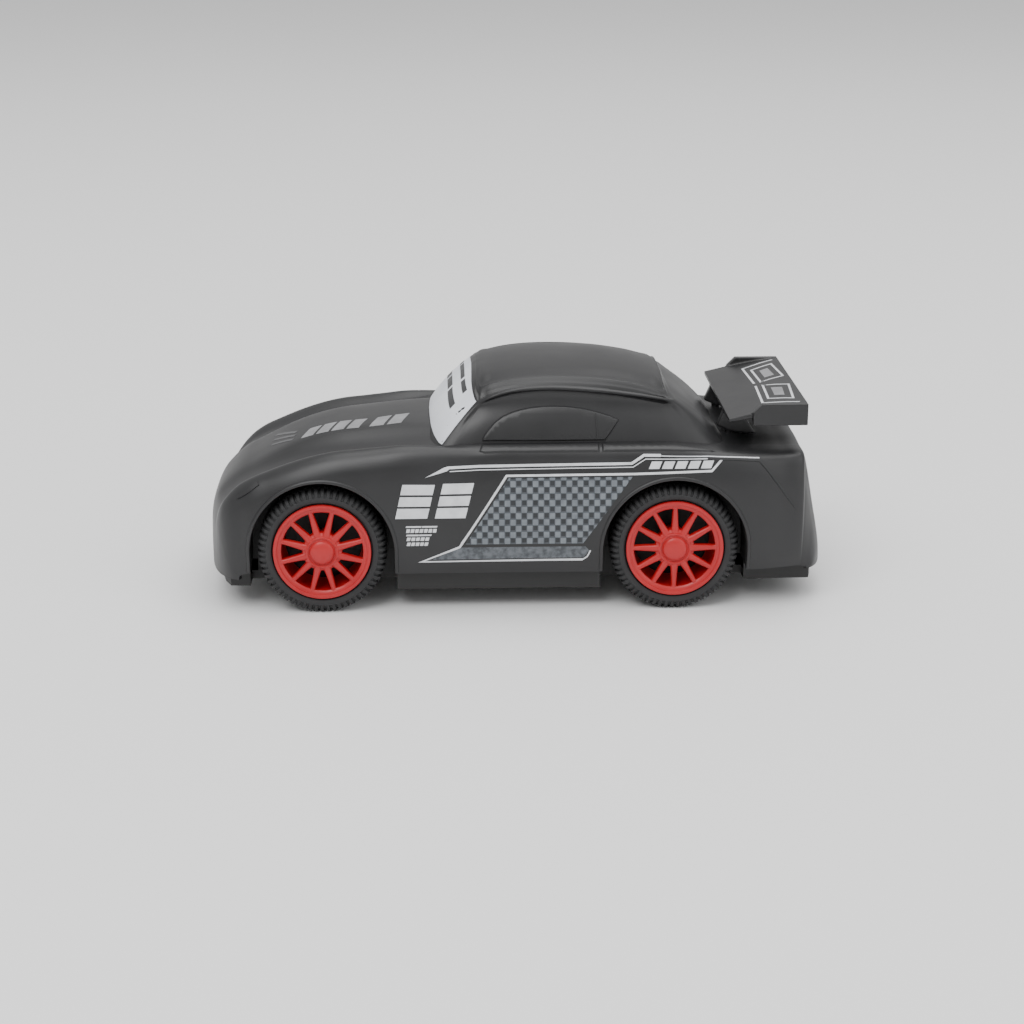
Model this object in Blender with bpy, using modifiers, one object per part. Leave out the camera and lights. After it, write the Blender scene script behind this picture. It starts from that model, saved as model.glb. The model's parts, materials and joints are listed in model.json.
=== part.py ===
"""A pull back car: a printed plastic body on a chassis tray, with a geared spring motor on the rear axle.

X runs along the car with the nose towards -X, Y runs across it and Z is up. The origin is on the ground,
under the middle of the car. Sizes are in millimetres here, and MM turns them into metres.
"""

from math import acos, ceil, cos, pi, radians, sin, sqrt, tan

import bmesh
import bpy
import numpy as np
from mathutils import Matrix, Vector
from mathutils.bvhtree import BVHTree

MM = 0.001
WELD = 0.00001
SHARP_ANGLE = radians(35)

# Overall sizes
BODY_LENGTH = 141.2
BODY_HALF_WIDTH = 30.0
ROOF_HEIGHT = 53.8
WHEELBASE = 79.2
WHEEL_MID_X = -4.5
TYRE_RADIUS = 14.5
TYRE_WIDTH = 9.0
TRACK = 48.0
GROUND_CLEARANCE = 4.8
FIT = 0.3

# Body
WALL = 1.4
SILL_HEIGHT = 9.2
NOSE_LIP_HEIGHT = 7.6
TAIL_LIP_HEIGHT = 8.6
NOSE_DEPTH = 10.6
TAIL_DEPTH = 6.6
ARCH_RADIUS = TYRE_RADIUS + 1.8
ARCH_INSET = 2.2
ARCH_OVERRUN = 5.0
LIP_FLARE = 0.4

# Chassis
FLOOR = 2.0
RIM_HEIGHT = 5.0
SADDLE_Y = 12.0
SADDLE_WIDTH = 4.0
KEEPER_THICK = 2.8
SADDLE_AHEAD = 4.5
SADDLE_BEHIND = 6.8
KEEPER_SCREW_X = 4.4
CRADLE_FRONT = 11.5
CRADLE_REAR = 4.0
CRADLE_THICK = 1.4
CRADLE_HEIGHT = 8.0
WELL_GAP = 0.4
SIDE_INSET = 1.9

# Fasteners
SCREW_HEAD_RADIUS = 1.9
SCREW_HEAD = 0.9
SCREW_RADIUS = 0.75
SCREW_LENGTH = 6.5
SCREW_TIP = 2.4
SLOT_WIDTH = 0.5
SINK_ROOM = 0.2
POST_RADIUS = 3.0
NOSE_POST_REACH = 17.6
TAIL_POST_REACH = 22.0

# Wheels
AXLE_RADIUS = 1.0
RIM_RADIUS = 11.0
BARREL_RADIUS = 9.7
RING_RADIUS = 9.3
HUB_RADIUS = 3.6
CAP_RADIUS = 2.8
SPOKES = 12
SPOKE_WIDTH = 1.25
FLANGE = 0.9
RIM_PROUD = 0.15
HUB_FACE = 2.2
WEB_DEPTH = 3.0
WINDOW_MARGIN = 0.6
SHOULDER = 1.3

# Gear train
MODULE = 0.5
PRESSURE_ANGLE = radians(20)
ADDENDUM = 0.9
DEDENDUM = 1.25
TIP_ROOM = 0.6
GEAR_ROOT_WALL = 0.07
CLUTCH_TEETH = 20
PINION_TEETH = 12
GREAT_TEETH = 32
FINE_TEETH = 20
PINION_GAP = 0.6
DRIVE_BACKLASH = 0.2
SPRING_BACKLASH = 0.12
CLUTCH_SWING = radians(8.4)
PIN_RADIUS = 0.75
ARBOR_RADIUS = 1.0
ARBOR_SQUARE = 2.2
GEAR_PLANE = -5.2
GEAR_THICK = 2.2
SPRING_TURNS = 4
SPRING_THICK = 0.35
SPRING_WIDTH = 3.8

# Motor case
CASE_HALF_WIDTH = 7.0
CASE_WALL = 1.0
CASE_LUG = 4.6
CASE_CORNER = 5.5
CASE_SHOULDER = (8.5, 11.0)
LUG_HEIGHT = 5.5
LUG_SCREW_DEPTH = 4.6
COLUMN_RADIUS = 1.7
BOSS_ROOM = 0.3

# Wing
WING_HALF_SPAN = 24.2
WING_TOP = 46.6
WING_SETBACK = 5.8
WING_CHORD = 17.6
WING_DROOP = 3.4
WING_FRONT_THICK = 0.9
WING_REAR_THICK = 2.2
END_PLATE_CHORD = 12.3
END_PLATE_HEIGHT = 4.9
END_PLATE_THICK = 1.8
END_PLATE_CORNER = 2.0
PYLON_Y = 12.0
PYLON_THICK = 2.2
PYLON_BASE = 9.0
PYLON_HEAD = (0.4, 3.6)
PEG_RADIUS = 0.9
PEG_DEPTH = 1.2
PEG_INSET = 1.4
PEG_SPACING = 4.0
PYLON_SLACK = 0.65

FRONT_X = WHEEL_MID_X - WHEELBASE / 2
REAR_X = WHEEL_MID_X + WHEELBASE / 2
AXLE_Z = TYRE_RADIUS
WHEEL_Y = TRACK / 2
WELL_Y = WHEEL_Y - TYRE_WIDTH / 2 - ARCH_INSET
WHEEL_FACE_Y = WHEEL_Y + TYRE_WIDTH / 2
FLOOR_TOP = GROUND_CLEARANCE + FLOOR
POST_FOOT = FLOOR_TOP + FIT
NOSE_X = -BODY_LENGTH / 2 + NOSE_DEPTH
TAIL_X = BODY_LENGTH / 2 - TAIL_DEPTH

# The axle gear takes as few teeth as leave a root outside its bore
AXLE_TEETH = ceil(2 * (AXLE_RADIUS + FIT + GEAR_ROOT_WALL) / MODULE + 2 * DEDENDUM)
DRIVE_DISTANCE = (AXLE_TEETH + CLUTCH_TEETH) * MODULE / 2
SPRING_DISTANCE = (PINION_TEETH + GREAT_TEETH) * MODULE / 2
AXLE_CENTRE = (REAR_X, AXLE_Z)
CLUTCH_CENTRE = (REAR_X - DRIVE_DISTANCE, AXLE_Z)
GREAT_CENTRE = (CLUTCH_CENTRE[0], AXLE_Z + SPRING_DISTANCE)
CLUTCH_RADIUS = CLUTCH_TEETH * MODULE / 2 + MODULE
GREAT_RADIUS = GREAT_TEETH * MODULE / 2 + MODULE
CASE_FRONT = DRIVE_DISTANCE + GREAT_RADIUS + TIP_ROOM + CASE_WALL
CASE_REAR = AXLE_TEETH * MODULE / 2 + MODULE + 0.8 + CASE_WALL
CASE_LOW = AXLE_Z - DRIVE_DISTANCE * sin(CLUTCH_SWING) - CLUTCH_RADIUS - 0.7 - CASE_WALL
CASE_HIGH = GREAT_CENTRE[1] + GREAT_RADIUS + TIP_ROOM + CASE_WALL
PINION_PLANE = GEAR_PLANE + GEAR_THICK
GREAT_PLANE = PINION_PLANE + PINION_GAP
GREAT_END = GREAT_PLANE + GEAR_THICK - 0.4
SPRING_PLANE = GREAT_END + PINION_GAP

SCREW_PLACES = {
    "body_screw_front": (FRONT_X - NOSE_POST_REACH, 0),
    "body_screw_left": (FRONT_X + ARCH_RADIUS + 7.7, -18.0),
    "body_screw_right": (FRONT_X + ARCH_RADIUS + 7.7, 18.0),
    "body_screw_rear": (REAR_X + TAIL_POST_REACH, 0),
}
MOTOR_SCREW_PLACES = {
    "motor_screw_front": (REAR_X - CASE_FRONT - 3.0, -3.6),
    "motor_screw_rear": (REAR_X + CASE_REAR + 2.5, 3.6),
}

# Lengthways curves of the body, as (share of the half length, value). Heights of the upper body are
# measured up from the belt, so a taller roof keeps the same belt.
BELT = 37.5
CREST_Z = [
    (-0.85, -7.9), (-0.74, -4.3), (-0.61, -1.5), (-0.47, -0.3), (-0.35, 0.3), (-0.2, -0.2),
    (0.28, 0.0), (0.47, -0.1), (0.64, -1.1), (0.91, -2.3),
]
CREST_Y = [
    (-0.85, 0.77), (-0.61, 0.81), (-0.35, 0.845), (-0.2, 0.89), (-0.07, 0.925), (0.47, 0.927),
    (0.64, 0.893), (0.91, 0.815),
]
LEDGE_Z = [
    (-0.85, -7.3), (-0.74, -3.6), (-0.61, -1.0), (-0.47, 0.0), (-0.35, 0.8), (-0.24, 0.7),
    (-0.11, 0.9), (0.28, 1.1), (0.47, 1.0), (0.64, -0.6), (0.91, -1.9),
]
LEDGE_Y = [
    (-0.85, 0.617), (-0.61, 0.653), (-0.35, 0.707), (-0.24, 0.76), (-0.11, 0.83), (0.28, 0.837),
    (0.47, 0.82), (0.64, 0.747), (0.91, 0.65),
]
WIDTH = [
    (-0.85, 0.945), (-0.71, 0.99), (-0.57, 1.0), (0.0, 0.992), (0.5, 1.0), (0.74, 0.987),
    (0.91, 0.9),
]
HOOD_Z = [
    (-0.85, -6.5), (-0.74, -2.4), (-0.61, 0.7), (-0.47, 2.1), (-0.32, 2.7), (0.675, -0.1),
    (0.91, -1.5),
]
# The cabin's rise over the hood and deck, as a share of its full height
CABIN_RISE = [
    (-0.32, 0.0), (-0.22, 0.56), (-0.125, 0.87), (-0.06, 0.955), (0.06, 1.0), (0.25, 0.985),
    (0.47, 0.79), (0.49, 0.67), (0.58, 0.42), (0.675, 0.0),
]
# How far each section is a cabin section rather than a hood or deck one
CABIN_BLEND = [(-0.32, 0.0), (-0.11, 1.0), (0.47, 1.0), (0.675, 0.0)]
STATIONS = (
    -0.85, -0.78, -0.70, -0.61, -0.52, -0.43, -0.35, -0.30, -0.24, -0.18, -0.125, -0.06, 0.04,
    0.15, 0.27, 0.38, 0.465, 0.495, 0.58, 0.64, 0.70, 0.80, 0.907,
)
# Points of a section above the ledge, from the ledge to the middle: (share of width, share of height)
HOOD_SECTION = [(0.83, 0.0), (0.67, 0.02), (0.5, 0.4), (0.36, 0.8), (0.18, 0.97), (0.0, 1.0)]
CABIN_SECTION = [
    (0.968, 0.11), (0.905, 0.44), (0.825, 0.71), (0.70, 0.865), (0.37, 0.975), (0.0, 1.0),
]
# Points of the side below the belt: (inset from the widest line, share of height)
SIDE_SECTION = [(1.6, 0.0), (0.5, 0.2), (0.0, 0.44), (0.1, 0.72), (0.9, 1.0)]
BELT_DROP = 3.6
# Rows from a section to the lip: (share of the way along, share inwards, share of the way down)
NOSE_ROWS = [(0.40, 0.2, 0.05), (0.70, 0.44, 0.2), (0.91, 0.7, 0.5), (1.0, 1.0, 1.0)]
TAIL_ROWS = [
    (0.2, 0.1, 0.04), (0.1, 0.05, 0.22), (0.4, 0.3, 0.36), (0.82, 0.6, 0.53), (0.98, 0.9, 0.75),
    (1.0, 1.0, 1.0),
]
# Share of the lip's half width that each point of a section runs down to
LIP_SPREAD = (0.985, 0.965, 0.94, 0.91, 0.875, 0.81, 0.68, 0.56, 0.45, 0.34, 0.24, 0.12, 0.0)
LIP_POWER = 2.6
TRAY_SPREAD = (0.0, 0.3, 0.55, 0.75, 0.88)


def clear_scene():
    for obj in list(bpy.data.objects):
        bpy.data.objects.remove(obj, do_unlink=True)


def collection(name):
    made = bpy.data.collections.new(name)
    bpy.context.scene.collection.children.link(made)
    return made


clear_scene()
PARTS = collection("pull_back_car")
CUTTERS = collection("cutters")
CUTTERS.hide_render = True

BLACK_PLASTIC = ("black_plastic", (0.012, 0.012, 0.013), 0.48)
RED_PLASTIC = ("red_plastic", (0.52, 0.012, 0.014), 0.42)
TYRE_RUBBER = ("tyre_rubber", (0.010, 0.010, 0.011), 0.75)
WHITE_NYLON = ("white_nylon", (0.72, 0.71, 0.67), 0.5)
STEEL = ("steel", (0.55, 0.55, 0.56), 0.3, 1.0)
SPRING_STEEL = ("spring_steel", (0.30, 0.31, 0.34), 0.35, 1.0)


def material(name, color, roughness, metallic=0.0):
    made = bpy.data.materials.get(name)
    if made:
        return made
    made = bpy.data.materials.new(name)
    made.use_nodes = True
    shader = made.node_tree.nodes["Principled BSDF"]
    shader.inputs["Base Color"].default_value = (*color, 1)
    shader.inputs["Roughness"].default_value = roughness
    shader.inputs["Metallic"].default_value = metallic
    made.diffuse_color = (*color, 1)
    return made


def add(name, mesh, finish=None, where=PARTS, round_piece=False):
    """A new object: a part with its material, or a cutter that only shapes other objects."""
    obj = bpy.data.objects.new(name, mesh)
    where.objects.link(obj)
    if finish:
        mesh.materials.clear()
        mesh.materials.append(material(*finish))
    if round_piece:
        mesh.shade_smooth()
        mesh.set_sharp_from_angle(angle=SHARP_ANGLE)
    if where is CUTTERS:
        obj.hide_render = True
        obj.display_type = "WIRE"
    return obj


def mesh_from(bm, name, closed=True):
    bmesh.ops.remove_doubles(bm, verts=bm.verts, dist=WELD)
    if closed:
        bmesh.ops.recalc_face_normals(bm, faces=bm.faces)
    mesh = bpy.data.meshes.new(name)
    bm.to_mesh(mesh)
    bm.free()
    return mesh


def box(name, low, high, finish=None, where=PARTS):
    """A block between two corners, in millimetres."""
    bm = bmesh.new()
    bmesh.ops.create_cube(bm, size=1)
    low, high = Vector(low), Vector(high)
    bm.transform(Matrix.Translation((low + high) / 2 * MM) @ Matrix.Diagonal([*((high - low) * MM), 1]))
    return add(name, mesh_from(bm, name), finish, where)


def rod(name, start, end, radius, finish=None, where=PARTS, sides=16):
    """A cylinder from start to end, in millimetres."""
    start, end = Vector(start) * MM, Vector(end) * MM
    bm = bmesh.new()
    bmesh.ops.create_cone(
        bm, cap_ends=True, segments=sides, radius1=radius * MM, radius2=radius * MM,
        depth=(end - start).length,
    )
    turn = Vector((0, 0, 1)).rotation_difference(end - start).to_matrix().to_4x4()
    bm.transform(Matrix.Translation((start + end) / 2) @ turn)
    return add(name, mesh_from(bm, name), finish, where, where is PARTS)


def plate(name, outlines, y_low, y_high, finish=None, where=PARTS):
    """An extrusion along Y of outlines in the XZ plane, where an outline inside another is a hole."""
    curve = bpy.data.curves.new(name, "CURVE")
    curve.dimensions = "2D"
    curve.fill_mode = "BOTH"
    curve.extrude = (y_high - y_low) / 2 * MM
    for outline in outlines:
        spline = curve.splines.new("POLY")
        spline.points.add(len(outline) - 1)
        for point, (x, z) in zip(spline.points, outline):
            point.co = (x * MM, z * MM, 0, 1)
        spline.use_cyclic_u = True
    flat = bpy.data.objects.new(name + "_outline", curve)
    PARTS.objects.link(flat)
    middle = Matrix.Translation((0, (y_low + y_high) / 2 * MM, 0))
    flat.matrix_world = middle @ Matrix.Rotation(pi / 2, 4, "X")
    bpy.context.view_layer.update()
    evaluated = flat.evaluated_get(bpy.context.evaluated_depsgraph_get())
    bm = bmesh.new()
    bm.from_mesh(bpy.data.meshes.new_from_object(evaluated))
    bm.transform(flat.matrix_world)
    bpy.data.objects.remove(flat, do_unlink=True)
    return add(name, mesh_from(bm, name), finish, where)


def slab(name, outline, z_low, z_high, finish=None, where=PARTS):
    """An extrusion along Z of an outline in the XY plane."""
    bm = bmesh.new()
    face = bm.faces.new([bm.verts.new((x * MM, y * MM, z_low * MM)) for x, y in outline])
    grown = bmesh.ops.extrude_face_region(bm, geom=[face])["geom"]
    lifted = [item for item in grown if isinstance(item, bmesh.types.BMVert)]
    bmesh.ops.translate(bm, verts=lifted, vec=(0, 0, (z_high - z_low) * MM))
    return add(name, mesh_from(bm, name), finish, where)


def turned(name, profile, steps, finish):
    """A profile of (radius, height) points turned about the object's Z axis by a Screw modifier."""
    mesh = bpy.data.meshes.new(name)
    points = [(radius * MM, 0, height * MM) for radius, height in profile]
    open_ended = profile[0][0] == 0 and profile[-1][0] == 0
    count = len(points) - 1 if open_ended else len(points)
    mesh.from_pydata(points, [(k, (k + 1) % len(points)) for k in range(count)], [])
    obj = add(name, mesh, finish)
    spin = obj.modifiers.new("turn", "SCREW")
    spin.axis = "Z"
    spin.angle = 2 * pi
    spin.steps = steps
    spin.render_steps = steps
    spin.use_merge_vertices = True
    spin.merge_threshold = WELD
    spin.use_normal_calculate = True
    spin.use_smooth_shade = True
    return obj


def boolean(obj, other, operation):
    modifier = obj.modifiers.new(operation.lower() + "_" + other.name, "BOOLEAN")
    modifier.operation = operation
    modifier.object = other
    modifier.solver = "EXACT"
    return obj


def cut(obj, other):
    return boolean(obj, other, "DIFFERENCE")


def join(obj, other):
    return boolean(obj, other, "UNION")


def arc(centre, radius, start, end, count):
    """Points on an arc, angles in degrees from +X towards +Z."""
    steps = np.radians(np.linspace(start, end, count))
    return [(centre[0] + radius * cos(a), centre[1] + radius * sin(a)) for a in steps]


# ---- body -------------------------------------------------------------------------------------


def along(keys, share):
    """A smooth curve through keys that never overshoots them."""
    xs, ys = np.array(keys, float).T
    slope = np.diff(ys) / np.diff(xs)
    tangent = np.concatenate([slope[:1], (slope[:-1] + slope[1:]) / 2, slope[-1:]])
    for k in range(1, len(xs) - 1):
        if slope[k - 1] * slope[k] <= 0:
            tangent[k] = 0
        else:
            steepest = 3 * min(abs(slope[k - 1]), abs(slope[k]))
            tangent[k] = np.sign(slope[k]) * min(abs(tangent[k]), steepest)
    share = min(max(share, xs[0]), xs[-1])
    k = min(int(np.searchsorted(xs, share, side="right")) - 1, len(xs) - 2)
    width = xs[k + 1] - xs[k]
    t = (share - xs[k]) / width
    a = ys[k] * (1 + 2 * t) * (1 - t) ** 2 + tangent[k] * width * t * (1 - t) ** 2
    b = ys[k + 1] * (3 - 2 * t) * t * t + tangent[k + 1] * width * t * t * (t - 1)
    return float(a + b)


def section(share):
    """One side of the body's section, from the sill up to the middle line."""
    x = share * BODY_LENGTH / 2
    half = along(WIDTH, share) * BODY_HALF_WIDTH
    crest_z = BELT + along(CREST_Z, share)
    belt_z = crest_z - BELT_DROP
    points = [(x, half - inset, SILL_HEIGHT + up * (belt_z - SILL_HEIGHT)) for inset, up in SIDE_SECTION]
    points.append((x, along(CREST_Y, share) * BODY_HALF_WIDTH, crest_z))
    ledge_y = along(LEDGE_Y, share) * BODY_HALF_WIDTH
    ledge_z = BELT + along(LEDGE_Z, share)
    points.append((x, ledge_y, ledge_z))
    hood_z = BELT + along(HOOD_Z, share)
    top = hood_z + along(CABIN_RISE, share) * (ROOF_HEIGHT - hood_z)
    blend = along(CABIN_BLEND, share)
    for (hood_u, hood_v), (cabin_u, cabin_v) in zip(HOOD_SECTION, CABIN_SECTION):
        u = hood_u + (cabin_u - hood_u) * blend
        v = hood_v + (cabin_v - hood_v) * blend
        points.append((x, ledge_y * u, ledge_z + (top - ledge_z) * v))
    return points


def lip_reach(spread):
    """Share of the lip's depth that is left at a share of its half width."""
    return (1 - spread**LIP_POWER) ** (1 / LIP_POWER)


def lip(end_x, depth, height, half):
    """The lower front or rear edge of the body, as one point for each point of a section."""
    forwards = np.sign(end_x) * depth
    return [(end_x + forwards * lip_reach(spread), spread * half, height) for spread in LIP_SPREAD]


def cap(last, edge, rows):
    """Sections that run from the last one down to the lip."""
    made = []
    for forth, inwards, down in rows:
        row = []
        for (x0, y0, z0), (x1, y1, z1) in zip(last, edge):
            row.append((x0 + (x1 - x0) * forth, y0 + (y1 - y0) * inwards, z0 + (z1 - z0) * down))
        made.append(row)
    return made


def lip_half_width(share):
    return section(share)[0][1] + LIP_FLARE


def body_sections():
    main = [section(share) for share in STATIONS]
    main[0] = [(NOSE_X, y, z) for _, y, z in main[0]]
    main[-1] = [(TAIL_X, y, z) for _, y, z in main[-1]]
    nose = lip(NOSE_X, NOSE_DEPTH, NOSE_LIP_HEIGHT, lip_half_width(STATIONS[0]))
    tail = lip(TAIL_X, TAIL_DEPTH, TAIL_LIP_HEIGHT, lip_half_width(STATIONS[-1]))
    return cap(main[0], nose, NOSE_ROWS)[::-1] + main + cap(main[-1], tail, TAIL_ROWS)


def body_sheet(name):
    """The outer surface of the body, open underneath: the right half and its mirror image."""
    bm = bmesh.new()
    grid = [[bm.verts.new((x * MM, y * MM, z * MM)) for x, y, z in row] for row in body_sections()]
    for first, second in zip(grid, grid[1:]):
        for k in range(len(first) - 1):
            bm.faces.new((first[k + 1], second[k + 1], second[k], first[k]))
    sheet = add(name, mesh_from(bm, name, closed=False), BLACK_PLASTIC, PARTS, True)
    mirror = sheet.modifiers.new("other_side", "MIRROR")
    mirror.use_axis = (False, True, False)
    mirror.merge_threshold = WELD
    bpy.context.view_layer.update()
    return sheet


def skin_height(tree, x, y):
    hit = tree.ray_cast(Vector((x, y, 0)) * MM, Vector((0, 0, 1)))[0]
    return hit.z / MM


def post(name, tree, x, y):
    """A screw post from just above the chassis floor up into the wall of the body."""
    middle = POST_FOOT + POST_RADIUS
    foot = rod(name, (x, y, POST_FOOT), (x, y, middle + POST_RADIUS), POST_RADIUS, None, CUTTERS, 12)
    for vertex in foot.data.vertices:
        if vertex.co.z > middle * MM:
            vertex.co.z = (skin_height(tree, vertex.co.x / MM, vertex.co.y / MM) - WALL / 2) * MM
    return foot


def wing_edge(share):
    """Heights of the wing blade's underside and top at a share of its chord from the front."""
    top = WING_TOP - WING_DROOP * (1 - share) ** 1.3
    return top - WING_FRONT_THICK - (WING_REAR_THICK - WING_FRONT_THICK) * share, top


WING_TAIL_X = BODY_LENGTH / 2 - WING_SETBACK
WING_NOSE_X = WING_TAIL_X - WING_CHORD
PEG_X = (WING_NOSE_X + PEG_INSET, WING_NOSE_X + PEG_INSET + PEG_SPACING)
SIDES = ((-1, "left"), (1, "right"))


def build_body():
    sheet = body_sheet("body_shell")
    tree = BVHTree.FromObject(sheet, bpy.context.evaluated_depsgraph_get())
    wall = sheet.modifiers.new("wall", "SOLIDIFY")
    wall.thickness = WALL * MM
    wall.offset = -1
    beyond = BODY_HALF_WIDTH + ARCH_OVERRUN
    for name, x in (("front", FRONT_X), ("rear", REAR_X)):
        for side, label in SIDES:
            arch = rod(
                f"{name}_{label}_arch", (x, side * WELL_Y, AXLE_Z), (x, side * beyond, AXLE_Z),
                ARCH_RADIUS, None, CUTTERS, 24,
            )
            cut(sheet, arch)
            foot = box(
                f"{name}_{label}_arch_foot", (x - ARCH_RADIUS, side * WELL_Y, 0),
                (x + ARCH_RADIUS, side * beyond, AXLE_Z), None, CUTTERS,
            )
            cut(sheet, foot)
    for name, (x, y) in SCREW_PLACES.items():
        join(sheet, post(name + "_post", tree, x, y))
        hole = rod(
            name + "_hole", (x, y, POST_FOOT - 1), (x, y, POST_FOOT + SCREW_LENGTH),
            SCREW_RADIUS + FIT, None, CUTTERS, 12,
        )
        cut(sheet, hole)
    for x in PEG_X:
        for side, label in SIDES:
            top = skin_height(tree, x, side * PYLON_Y)
            hole = rod(
                f"peg_hole_{label}_{round(x)}", (x, side * PYLON_Y, top - WALL - 3),
                (x, side * PYLON_Y, top + 3), PEG_RADIUS + FIT, None, CUTTERS, 12,
            )
            cut(sheet, hole)
    return tree


def build_wing(tree):
    steps = np.linspace(0, 1, 5)
    under = [(WING_NOSE_X + s * WING_CHORD, wing_edge(s)[0]) for s in steps]
    over = [(WING_NOSE_X + s * WING_CHORD, wing_edge(s)[1]) for s in steps]
    half = WING_HALF_SPAN - END_PLATE_THICK / 2
    wing = plate("rear_wing", [under + over[::-1]], -half, half, BLACK_PLASTIC)
    low = WING_TOP - END_PLATE_HEIGHT
    front = WING_TAIL_X - END_PLATE_CHORD
    outline = [
        (front, low), (WING_TAIL_X, low), (WING_TAIL_X, WING_TOP), (front + END_PLATE_CORNER, WING_TOP),
        (front, WING_TOP - END_PLATE_CORNER),
    ]
    for side, label in SIDES:
        ends = sorted((side * (WING_HALF_SPAN - END_PLATE_THICK), side * WING_HALF_SPAN))
        join(wing, plate(f"end_plate_{label}", [outline], *ends, None, CUTTERS))
        y = side * PYLON_Y
        feet_x = WING_NOSE_X - PEG_INSET + steps * PYLON_BASE
        foot = [(x, skin_height(tree, x, y) + PYLON_SLACK) for x in feet_x]
        head = wing_edge(0.12)[0] + 0.5
        shape = foot + [(WING_NOSE_X + PYLON_HEAD[1], head), (WING_NOSE_X + PYLON_HEAD[0], head)]
        inner, outer = y - PYLON_THICK / 2, y + PYLON_THICK / 2
        join(wing, plate(f"pylon_{label}", [shape], inner, outer, None, CUTTERS))
        for x in PEG_X:
            top = skin_height(tree, x, y)
            peg = rod(
                f"peg_{label}_{round(x)}", (x, y, top - WALL - PEG_DEPTH), (x, y, top + 2 * PEG_RADIUS),
                PEG_RADIUS, None, CUTTERS, 12,
            )
            join(wing, peg)


# ---- chassis ----------------------------------------------------------------------------------


def tray_end(start_x, depth, half):
    """Plan points of a tray end, from the middle line out to its corner."""
    forwards = np.sign(start_x) * depth
    return [(start_x + forwards * lip_reach(spread), spread * half) for spread in TRAY_SPREAD]


def chassis_outline(inset):
    """The tray's plan, held inside the body's wall and narrowed at the wheels."""
    gap = WALL + 2 * FIT + inset
    well = WELL_Y - inset
    side = BODY_HALF_WIDTH - SIDE_INSET - gap
    reach = ARCH_RADIUS + WELL_GAP
    front, front_end = FRONT_X - reach + inset, FRONT_X + reach + inset
    rear, rear_end = REAR_X - reach - inset, REAR_X + reach - inset
    nose = tray_end(NOSE_X, NOSE_DEPTH - gap, lip_half_width(STATIONS[0]) - gap)
    tail = tray_end(TAIL_X, TAIL_DEPTH - gap, lip_half_width(STATIONS[-1]) - gap)
    right = nose + [(front, nose[-1][1] + WELL_GAP), (front, well), (front_end, well), (front_end, side)]
    right += [(rear, side), (rear, well), (rear_end, well), (rear_end, tail[-1][1] + WELL_GAP)]
    right += tail[::-1]
    return right + [(x, -y) for x, y in right[-2:0:-1]]


def keeper_screw_place(side):
    return FRONT_X + KEEPER_SCREW_X, side * SADDLE_Y


def build_chassis():
    top = FLOOR_TOP + RIM_HEIGHT
    tray = slab("chassis", chassis_outline(0), GROUND_CLEARANCE, top, BLACK_PLASTIC)
    cut(tray, slab("tray_inside", chassis_outline(WALL), FLOOR_TOP, top + 1, None, CUTTERS))
    opening = box(
        "motor_opening", (REAR_X - CASE_FRONT - FIT, -CASE_HALF_WIDTH - FIT, 0),
        (REAR_X + CASE_REAR + FIT, CASE_HALF_WIDTH + FIT, top + 2), None, CUTTERS,
    )
    cut(tray, opening)
    for side, label in SIDES:
        across = sorted((side * (SADDLE_Y - SADDLE_WIDTH / 2), side * (SADDLE_Y + SADDLE_WIDTH / 2)))
        saddle = box(
            f"saddle_{label}", (FRONT_X - SADDLE_AHEAD, across[0], FLOOR_TOP - 0.5),
            (FRONT_X + SADDLE_BEHIND, across[1], AXLE_Z - FIT / 2), None, CUTTERS,
        )
        join(tray, saddle)
        inner = CASE_HALF_WIDTH + 2 * FIT
        across = sorted((side * inner, side * (inner + CRADLE_THICK)))
        cradle = box(
            f"cradle_{label}", (REAR_X - CRADLE_FRONT, across[0], FLOOR_TOP - 0.5),
            (REAR_X - CRADLE_REAR, across[1], FLOOR_TOP + CRADLE_HEIGHT), None, CUTTERS,
        )
        join(tray, cradle)
        x, y = keeper_screw_place(side)
        hole = rod(
            f"keeper_hole_{label}", (x, y, AXLE_Z - SCREW_LENGTH), (x, y, AXLE_Z + KEEPER_THICK + 1),
            SCREW_RADIUS + FIT, None, CUTTERS, 12,
        )
        cut(tray, hole)
    width = SADDLE_Y + SADDLE_WIDTH
    groove = rod(
        "axle_groove", (FRONT_X, -width, AXLE_Z), (FRONT_X, width, AXLE_Z), AXLE_RADIUS + FIT,
        None, CUTTERS, 16,
    )
    cut(tray, groove)
    for name, (x, y) in {**SCREW_PLACES, **MOTOR_SCREW_PLACES}.items():
        through = rod(
            name + "_through", (x, y, 0), (x, y, FLOOR_TOP + 1), SCREW_RADIUS + FIT, None, CUTTERS, 12,
        )
        cut(tray, through)
        sink = rod(
            name + "_sink", (x, y, 0), (x, y, GROUND_CLEARANCE + SCREW_HEAD + SINK_ROOM),
            SCREW_HEAD_RADIUS + FIT, None, CUTTERS, 16,
        )
        cut(tray, sink)


def build_keeper():
    low = AXLE_Z + FIT / 2
    keeper = box(
        "front_axle_keeper", (FRONT_X - SADDLE_AHEAD, -SADDLE_Y - SADDLE_WIDTH / 2, low),
        (FRONT_X + SADDLE_BEHIND, SADDLE_Y + SADDLE_WIDTH / 2, low + KEEPER_THICK), BLACK_PLASTIC,
    )
    cut(keeper, bpy.data.objects["axle_groove"])
    for side, label in SIDES:
        cut(keeper, bpy.data.objects[f"keeper_hole_{label}"])
        x, y = keeper_screw_place(side)
        screw(f"keeper_screw_{label}", (x, y, low + KEEPER_THICK + FIT / 2), pi)


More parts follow.
